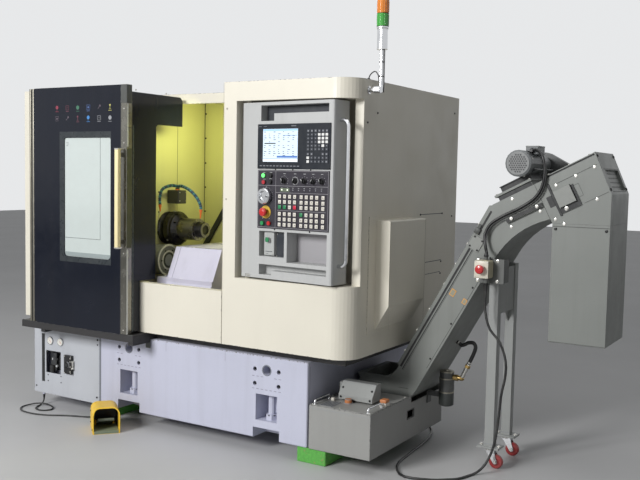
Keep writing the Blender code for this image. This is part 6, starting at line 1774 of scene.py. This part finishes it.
def dress_slope():
    """The conveyor's slope: side strips, clamp plate, lid bolts and two bare plates."""
    where = tilted(SLOPE_LOW, SLOPE_UP, SLOPE_OUT)
    front = CONVEYOR_SIDE
    black = [
        block("strip", (0.078, front - 0.0022, 0.118), (0.745, front + 0.0008, 0.127), 0.0008),
        block("strip", (0.07, front - 0.0012, 0.107), (0.745, front + 0.0008, 0.1105), 0.0005),
        block("strip", (0.818, front - 0.0012, 0.118), (0.94, front + 0.0008, 0.127), 0.0008),
    ]
    fit("slope_seal", black, "rubber_strip", where=where)
    fold = [
        strip("fold", (0.15, front, 0.01), (0.77, front, 0.01), FRONT, 0.0022, 0.0005),
        strip("fold", (0.07, front, 0.103), (0.745, front, 0.103), FRONT, 0.0014, 0.0005),
    ]
    fit("slope_folds", fold, "conveyor_line", where=where)
    plate = block(
        "slope_clamp_plate", (0.748, front - 0.0035, 0.08), (0.812, front + 0.0008, 0.136), 0.0012,
    )
    settle(plate, "conveyor_pale", where=where)
    clamp = [spot((x, front - 0.0035, z), FRONT, 0.9) for x in (0.756, 0.804) for z in (0.088, 0.128)]
    clamp += [spot((x, front, 0.018), FRONT, 0.9) for x in (0.2, 0.4, 0.6, 0.76)]
    screws("slope_screws", clamp, "black_screw", where=where)
    latch = [
        block("latch", (0.818, front - 0.011, 0.118), (0.846, front + 0.0008, 0.144), 0.003, 2),
        block("latch_tongue", (0.844, front - 0.006, 0.125), (0.864, front + 0.0008, 0.14), 0.002),
    ]
    fit("slope_latch", latch, "dark_grey", where=where)
    lid = 0.145
    heads = [
        spot((x, y, lid), UP, 0.9, 0.3)
        for y in (0.464, 0.756) for x in (0.15, 0.27, 0.39, 0.5325, 0.642, 0.7518, 0.8576)
    ]
    bolts("slope_lid_bolts", heads, "zinc", where=where)
    joints = [strip("joint", (x, 0.454, lid), (x, 0.766, lid), UP, 0.0022, 0.0006) for x in (0.33, 0.697)]
    fit("slope_lid_joints", joints, "conveyor_line", where=where)
    rims, fills = [], []
    for x, z, wide, high in ((0.5266, 0.086, 0.033, 0.025), (0.5236, 0.018, 0.025, 0.021)):
        rims.append(
            block(
                "rim", (x - wide / 2, front - 0.001, z - high / 2),
                (x + wide / 2, front + 0.0006, z + high / 2), 0.0004,
            )
        )
        wide, high = wide - 0.006, high - 0.006
        fills.append(
            block(
                "fill", (x - wide / 2, front - 0.0014, z - high / 2),
                (x + wide / 2, front + 0.0004, z + high / 2), 0.0003,
            )
        )
    fit("slope_plate_rims", rims, "plate_orange", where=where)
    fit("slope_plate_faces", fills, "plate_middle", where=where)
    tail = strip("tail_seam", (2.05, front, 0.306), (2.1, front, 0.306), FRONT, 0.0022, 0.0005)
    settle(tail, "conveyor_line")


def dress_head():
    """The conveyor's head: bearing, slots, bands, painted shade beside the bearing plate, bolts, end
    window and the chute's folds.
    """
    where = tilted(HEAD_LOW, HEAD_ALONG, HEAD_OVER)
    front = CONVEYOR_SIDE
    # The strips named shade and the side strip by the bearing plate are painted shade; the channel's dark
    # edge on the motor plate is partly dark paint, partly painted shade.
    dark = [
        block("slot", (0.022, front - 0.0006, 0.042), (0.046, front + 0.0006, 0.09), 0.0003),
        block("slot", (-0.172, 0.4566, 0.1655), (-0.012, 0.4582, 0.1858), 0.0005),
        block("band", (0.061, 0.4546, 0.16), (0.275, 0.4562, 0.1725), 0.0005),
        block("joint", (0.047, front - 0.004, -0.008), (0.0575, front + 0.0006, 0.14), 0.001),
        block("shade", (0.0585, 0.4448, -0.001), (0.1495, 0.4462, 0.0225), 0.0005),
        block("shade", (0.1392, 0.4448, 0.0225), (0.1495, 0.4462, 0.095), 0.0005),
        block("side", (0.1378, 0.4345, 0.0245), (0.1386, 0.446, 0.0985), 0.0003),
        block("channel", (-0.15, 0.47, 0.1962), (-0.006, 0.7, 0.2198), 0.001),
        block("channel_edge", (-0.1518, 0.4648, 0.219), (0.0328, 0.4664, 0.2236), 0.0005),
    ]
    fit("head_slots_and_shade", dark, "dark", where=where)
    bar = block("take_up_bar_face", (-0.177, 0.437, 0.063), (-0.005, 0.4384, 0.079), 0.0008)
    settle(bar, "black", where=where)
    lines = [
        strip("line", (-0.178, front, 0.056), (-0.004, front, 0.056), FRONT, 0.0022, 0.0006),
        strip("line", (0.086, front, 0.126), (0.273, front, 0.126), FRONT, 0.0024, 0.0006),
        strip("line", (0.16, front, 0.001), (0.27, front, 0.001), FRONT, 0.002, 0.0006),
        strip("line", (-0.0002, front, 0.002), (-0.0002, front, 0.164), FRONT, 0.0022, 0.0006),
    ]
    lines += strips("line", (
        ((0.149, front, 0.034), (0.171, front, 0.034)),
        ((0.149, front, 0.088), (0.171, front, 0.088)),
        ((0.171, front, 0.034), (0.171, front, 0.088)),
    ), FRONT, 0.0014, 0.0006)
    fit("head_folds", lines, "conveyor_line", where=where)
    face = 0.434
    plate = block(
        "bearing_face", (0.0625, face - 0.0004, 0.0245), (0.1375, face + 0.0006, 0.0985), 0.0008,
    )
    settle(plate, "conveyor_pale", where=where)
    heads = [spot((0.0842, 0.4446, 0.0117), FRONT, 1.1), spot((-0.15, 0.433, 0.071), FRONT, 0.9)]
    heads += [spot((-0.025, 0.433, 0.071), FRONT, 0.9)]
    heads += [spot((x, front, z), FRONT, 0.8) for x, z in (
        (0.0202, -0.011), (0.0464, -0.044), (0.2136, -0.0076), (0.083, 0.1189), (-0.1152, 0.148),
        (-0.0254, 0.048),
        (0.175, 0.1189), (0.26, 0.1189), (-0.17, 0.04))]
    bolts("head_bolts", heads, "zinc", where=where)
    tops = [spot((x, y, 0.176), UP, 0.8) for x in (0.07, 0.165, 0.26) for y in (0.462, 0.758)]
    tops += [spot((x, y, 0.196), UP, 0.8) for x in (-0.174, -0.015) for y in (0.462, 0.758)]
    bolts("head_top_bolts", tops, "zinc", where=where)

    end_top = HEAD_LOW + HEAD_ALONG * 0.2865 + HEAD_OVER * 0.177
    down = (-HEAD_OVER * 0.191 - HEAD_ALONG * 0.0116).normalized()
    out = Vector((-down.z, 0.0, down.x))
    if out.x < 0:
        out = -out
    heads = []
    for y in (0.47, 0.75):
        for distance in (0.016, 0.169):
            heads.append(spot(end_top + down * distance + Vector((0, y, 0)), out, 0.9))
    bolts("end_window_bolts", heads, "black_screw")
    bars = []
    for i in range(4):
        start = end_top + down * (0.093 + 0.02 * i) - out * 0.0112
        bars.append(
            strip("bar", start + Vector((0, 0.512, 0)), start + Vector((0, 0.732, 0)), out, 0.005, 0.0008)
        )
    fit("end_window_louvres", bars, "conveyor_line")
    rim = []
    for distance in (0.076, 0.178):
        start = end_top + down * distance
        rim.append(
            strip("rim", start + Vector((0, 0.5, 0)), start + Vector((0, 0.742, 0)), out, 0.004, 0.0008)
        )
    fit("end_window_rim", rim, "conveyor_line")
    chute = strips("fold", (
        ((2.758, front, 0.609), (2.994, front, 0.609)),
        ((2.758, front, 1.106), (2.994, front, 1.106)),
    ), FRONT, 0.0024, 0.0006)
    fit("chute_folds", chute, "conveyor_line")
    heads = [spot((x, front, 1.095), FRONT, 0.8) for x in (2.77, 2.982)]
    bolts("chute_bolts", heads, "black_screw")


def dress_drive():
    """The drive motor's grille and box, its power cable and a thinner signal cable."""
    x, z = 2.606, 1.371
    settle(
        turned("fan_cowl_disc", (x, 0.4152, z), FRONT, [(0.0, 0.044), (0.0006, 0.044)], 36), "motor_pale",
    )
    holes = []
    for row in range(-5, 6):
        for column in range(-5, 6):
            across, above = (column + 0.5 * (row % 2)) * 0.0104, row * 0.009
            if math.hypot(across, above) < 0.0385:
                holes.append(spot((x + across, 0.4146, z + above), FRONT))
    # Dark discs stand for the grille's holes: painted shade behind the cowl.
    dot = turned("hole", (0, 0, 0), UP, [(-0.0002, 0.0036), (0.0006, 0.0036)], 10)
    scatter("fan_grille_holes", dot, holes, "dark")
    settle(ring("fan_cowl_rim", (x, 0.4152, z), FRONT, 0.043, 0.05, 0.0014, 40), "motor_pale")
    heads = []
    for i in range(4):
        a = math.radians(20 + 90 * i)
        out = Vector((math.cos(a), 0, math.sin(a)))
        heads.append(spot(Vector((x, 0.442, z)) + out * 0.0582, out, 0.7))
    screws("fan_cowl_screws", heads, "zinc")
    lid = block("terminal_box_lid", (2.6095, 0.4995, 1.443), (2.6685, 0.5905, 1.449), 0.0018, 2)
    settle(lid, "motor_pale")
    heads = [spot((a, b, 1.4488), UP, 0.6) for a in (2.616, 2.662) for b in (0.506, 0.584)]
    screws("terminal_box_screws", heads, "zinc")

    route = (
        (2.64, 0.494, 1.428), (2.671, 0.47, 1.43), (2.703, 0.44, 1.405), (2.717, 0.437, 1.35),
        (2.71, 0.437, 1.28), (2.679, 0.437, 1.225), (2.613, 0.437, 1.178), (2.538, 0.437, 1.14),
        (2.483, 0.433, 1.1), (2.463, 0.427, 1.05), (2.474, 0.413, 1.0), (2.488, 0.388, 0.984),
        (2.488, 0.388, 0.973), (2.488, 0.388, 0.9623),
    )
    path = smooth_path(route, 160)
    cable = pipe("motor_power_cable", path, 0.0065, "hose_black", resolution=5)
    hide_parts("motor_cable")
    gland = [
        turned(
            "gland", (2.64, 0.5, 1.428), FRONT,
            [(0.0, 0.013), (0.005, 0.013), (0.006, 0.0115), (0.01, 0.0105), (0.018, 0.0078)], 6,
        ),
        turned(
            "gland", (2.488, 0.388, 0.9615), UP,
            [(0.0, 0.0105), (0.006, 0.0105), (0.008, 0.009), (0.016, 0.0075)], 12,
        ),
    ]
    fit("motor_cable_glands", gland, "black")
    beside = Vector((0.0075, -0.003, -0.0085))
    pipe("motor_signal_cable", [p + beside for p in path[30:132]], 0.003, "hose_black", resolution=4)
    ties = []
    for i in (45, 78, 108):
        way = (path[i + 1] - path[i - 1]).normalized()
        ties.append(ring("tie", path[i] - way * 0.002, way, 0.0064, 0.0079, 0.004, 20))
    fit("motor_cable_ties", ties, "black")


def dress_stand():
    """The stop box, its plate, the legs' feet and the casters."""
    front = 0.356
    lid = block(
        "stop_box_lid", (2.4462, front - 0.001, 0.8685), (2.5108, front + 0.004, 0.9445), 0.0022, 2,
    )
    cutter = turned("bore", (2.4785, front + 0.01, 0.909), FRONT, [(0.0, 0.0095), (0.03, 0.0095)], 28)
    settle(carved(lid, cutter), "cream_box")
    heads = [spot((x, front - 0.0009, z), FRONT, 0.6) for x in (2.4515, 2.5055) for z in (0.874, 0.939)]
    screws("stop_box_screws", heads, "zinc")
    seam = [
        strip("seam", (2.446, 0.36, 0.87), (2.446, 0.36, 0.943), (-1, 0, 0), 0.0012, 0.0004),
        strip("seam", (2.511, 0.36, 0.87), (2.511, 0.36, 0.943), RIGHT, 0.0012, 0.0004),
    ]
    fit("stop_box_seams", seam, "dark")
    heads = [spot((x, 0.4178, z), FRONT, 0.9) for x in (2.53, 2.44) for z in (0.852, 0.941)]
    bolts("stop_plate_screws", heads, "zinc")
    caps = [spot((x, y, 0.1003), UP, turn=0.4) for y in (0.473, 0.693) for x in (2.464, 2.546)]
    bolts("caster_plate_bolts", caps, "zinc")
    joints = [
        strip("weld", (2.4838, y, 0.112), (2.5262, y, 0.112), FRONT, 0.003, 0.0006)
        for y in (0.4518, 0.6718)
    ]
    fit("leg_welds", joints, "grey")
    for label, y in (("front", 0.473), ("rear", 0.693)):
        hub = Vector((2.535, y, 0.032))
        body = label + "_fork"
        caps = [spot(hub + Vector((0, side * 0.0195, 0)), (0, side, 0)) for side in (-1, 1)]
        cap = turned("cap", (0, 0, 0), UP, [(0.0, 0.0068), (0.003, 0.0068), (0.0042, 0.005)], 6)
        scatter("caster_axle_nuts_" + label, cap, caps, "zinc", body)
        rims = [
            ring("rim", hub + Vector((0, side * 0.0109, 0)), (0, side, 0), 0.006, 0.018, 0.001, 28)
            for side in (-1, 1)
        ]
        fit("caster_wheel_hub_" + label, rims, "wheel_hub", label + "_wheel")
        race = ring("caster_race_" + label, (2.505, y, 0.0838), UP, 0.012, 0.0232, 0.004, 32, 0.001)
        settle(race, "zinc", body)


def dress_pedal():
    """The foot pedal's ribs and the guard's fixings."""
    where = TO_FRAME @ GUARD
    ribs = []
    start = Vector((0.0, 0.057, 0.035))
    stop = Vector((0.0, -0.048, 0.069))
    way = (stop - start).normalized()
    out = Vector((0, way.z, -way.y))
    if out.z < 0:
        out = -out
    for i in range(11):
        middle = start + way * (0.006 + 0.0096 * i)
        ribs.append(
            strip(
                "rib", middle + Vector((-0.037, 0, 0)), middle + Vector((0.037, 0, 0)), out, 0.004,
                0.0012,
            )
        )
    lining = [
        block("lining", (-0.0595, 0.0775, 0.015), (0.0595, 0.0795, 0.105), 0.0006),
        block("lining", (-0.0608, -0.03, 0.0145), (-0.0598, 0.079, 0.088), 0.0004),
        block("lining", (0.0598, -0.03, 0.0145), (0.0608, 0.079, 0.088), 0.0004),
    ]
    fit("pedal_guard_lining", lining, "black", where=where)
    sole = block("pedal_base_plate", (-0.06, -0.0854, 0.001), (0.06, 0.07, 0.015), 0.0008)
    settle(sole, "olive_grey", where=where)
    fit("pedal_ribs", ribs, "tread", "pedal", where=where)
    heads = [
        spot((side * 0.0667, y, z), (side, 0, 0), 0.8)
        for side in (-1, 1) for y, z in ((0.06, 0.027), (0.06, 0.085), (-0.06, 0.018))
    ]
    screws("pedal_guard_screws", heads, "black_screw", where=where)


def cord_ends(name, seats):
    """Tapered rubber strain reliefs where a cord leaves a housing."""
    shapes = []
    for start, way, thick, thin, length in seats:
        rings = [(0.0, thick), (0.003, thick), (0.0045, thick * 0.9)]
        for i in range(1, 7):
            rings.append((0.0045 + (length - 0.0045) * i / 6, thick * 0.9 + (thin - thick * 0.9) * i / 6))
        shapes.append(turned("relief", start, way, rings, 20))
    return fit(name, shapes, "hose_black")


set_camera()
set_stage()
rubber = dress_nodes()
LOOK = make_finishes()

lead_reliefs = cord_ends("conveyor_lead_reliefs", [
    ((2.49, 0.388, 0.8462), (0, 0, -1), 0.01, 0.0062, 0.036),
    ((1.8163, 0.94, 0.15), (1, 0, 0), 0.01, 0.0062, 0.03),
])
lay_cord("conveyor_supply_lead", "conveyor_lead", LEAD_ROUTE, LEAD_RADIUS, rubber)
pedal_reliefs = cord_ends("pedal_cord_reliefs", [
    ((0.06, 0.055, 0.0582), (0.03, -0.06, -1), 0.0074, 0.0046, 0.022),
    ((0.606, -0.0341, 0.04), (-0.7615, 0.6482, 0), 0.008, 0.0046, 0.022),
])
lay_cord("pedal_switch_cord", "pedal_cord", PEDAL_CORD_ROUTE, PEDAL_CORD_RADIUS, rubber)

dress_door()
dress_chamber()
dress_panel()
dress_base()
dress_enclosure()
dress_lamp()
dress_tank()
dress_filter()
dress_slope()
dress_head()
dress_drive()
dress_stand()
dress_pedal()
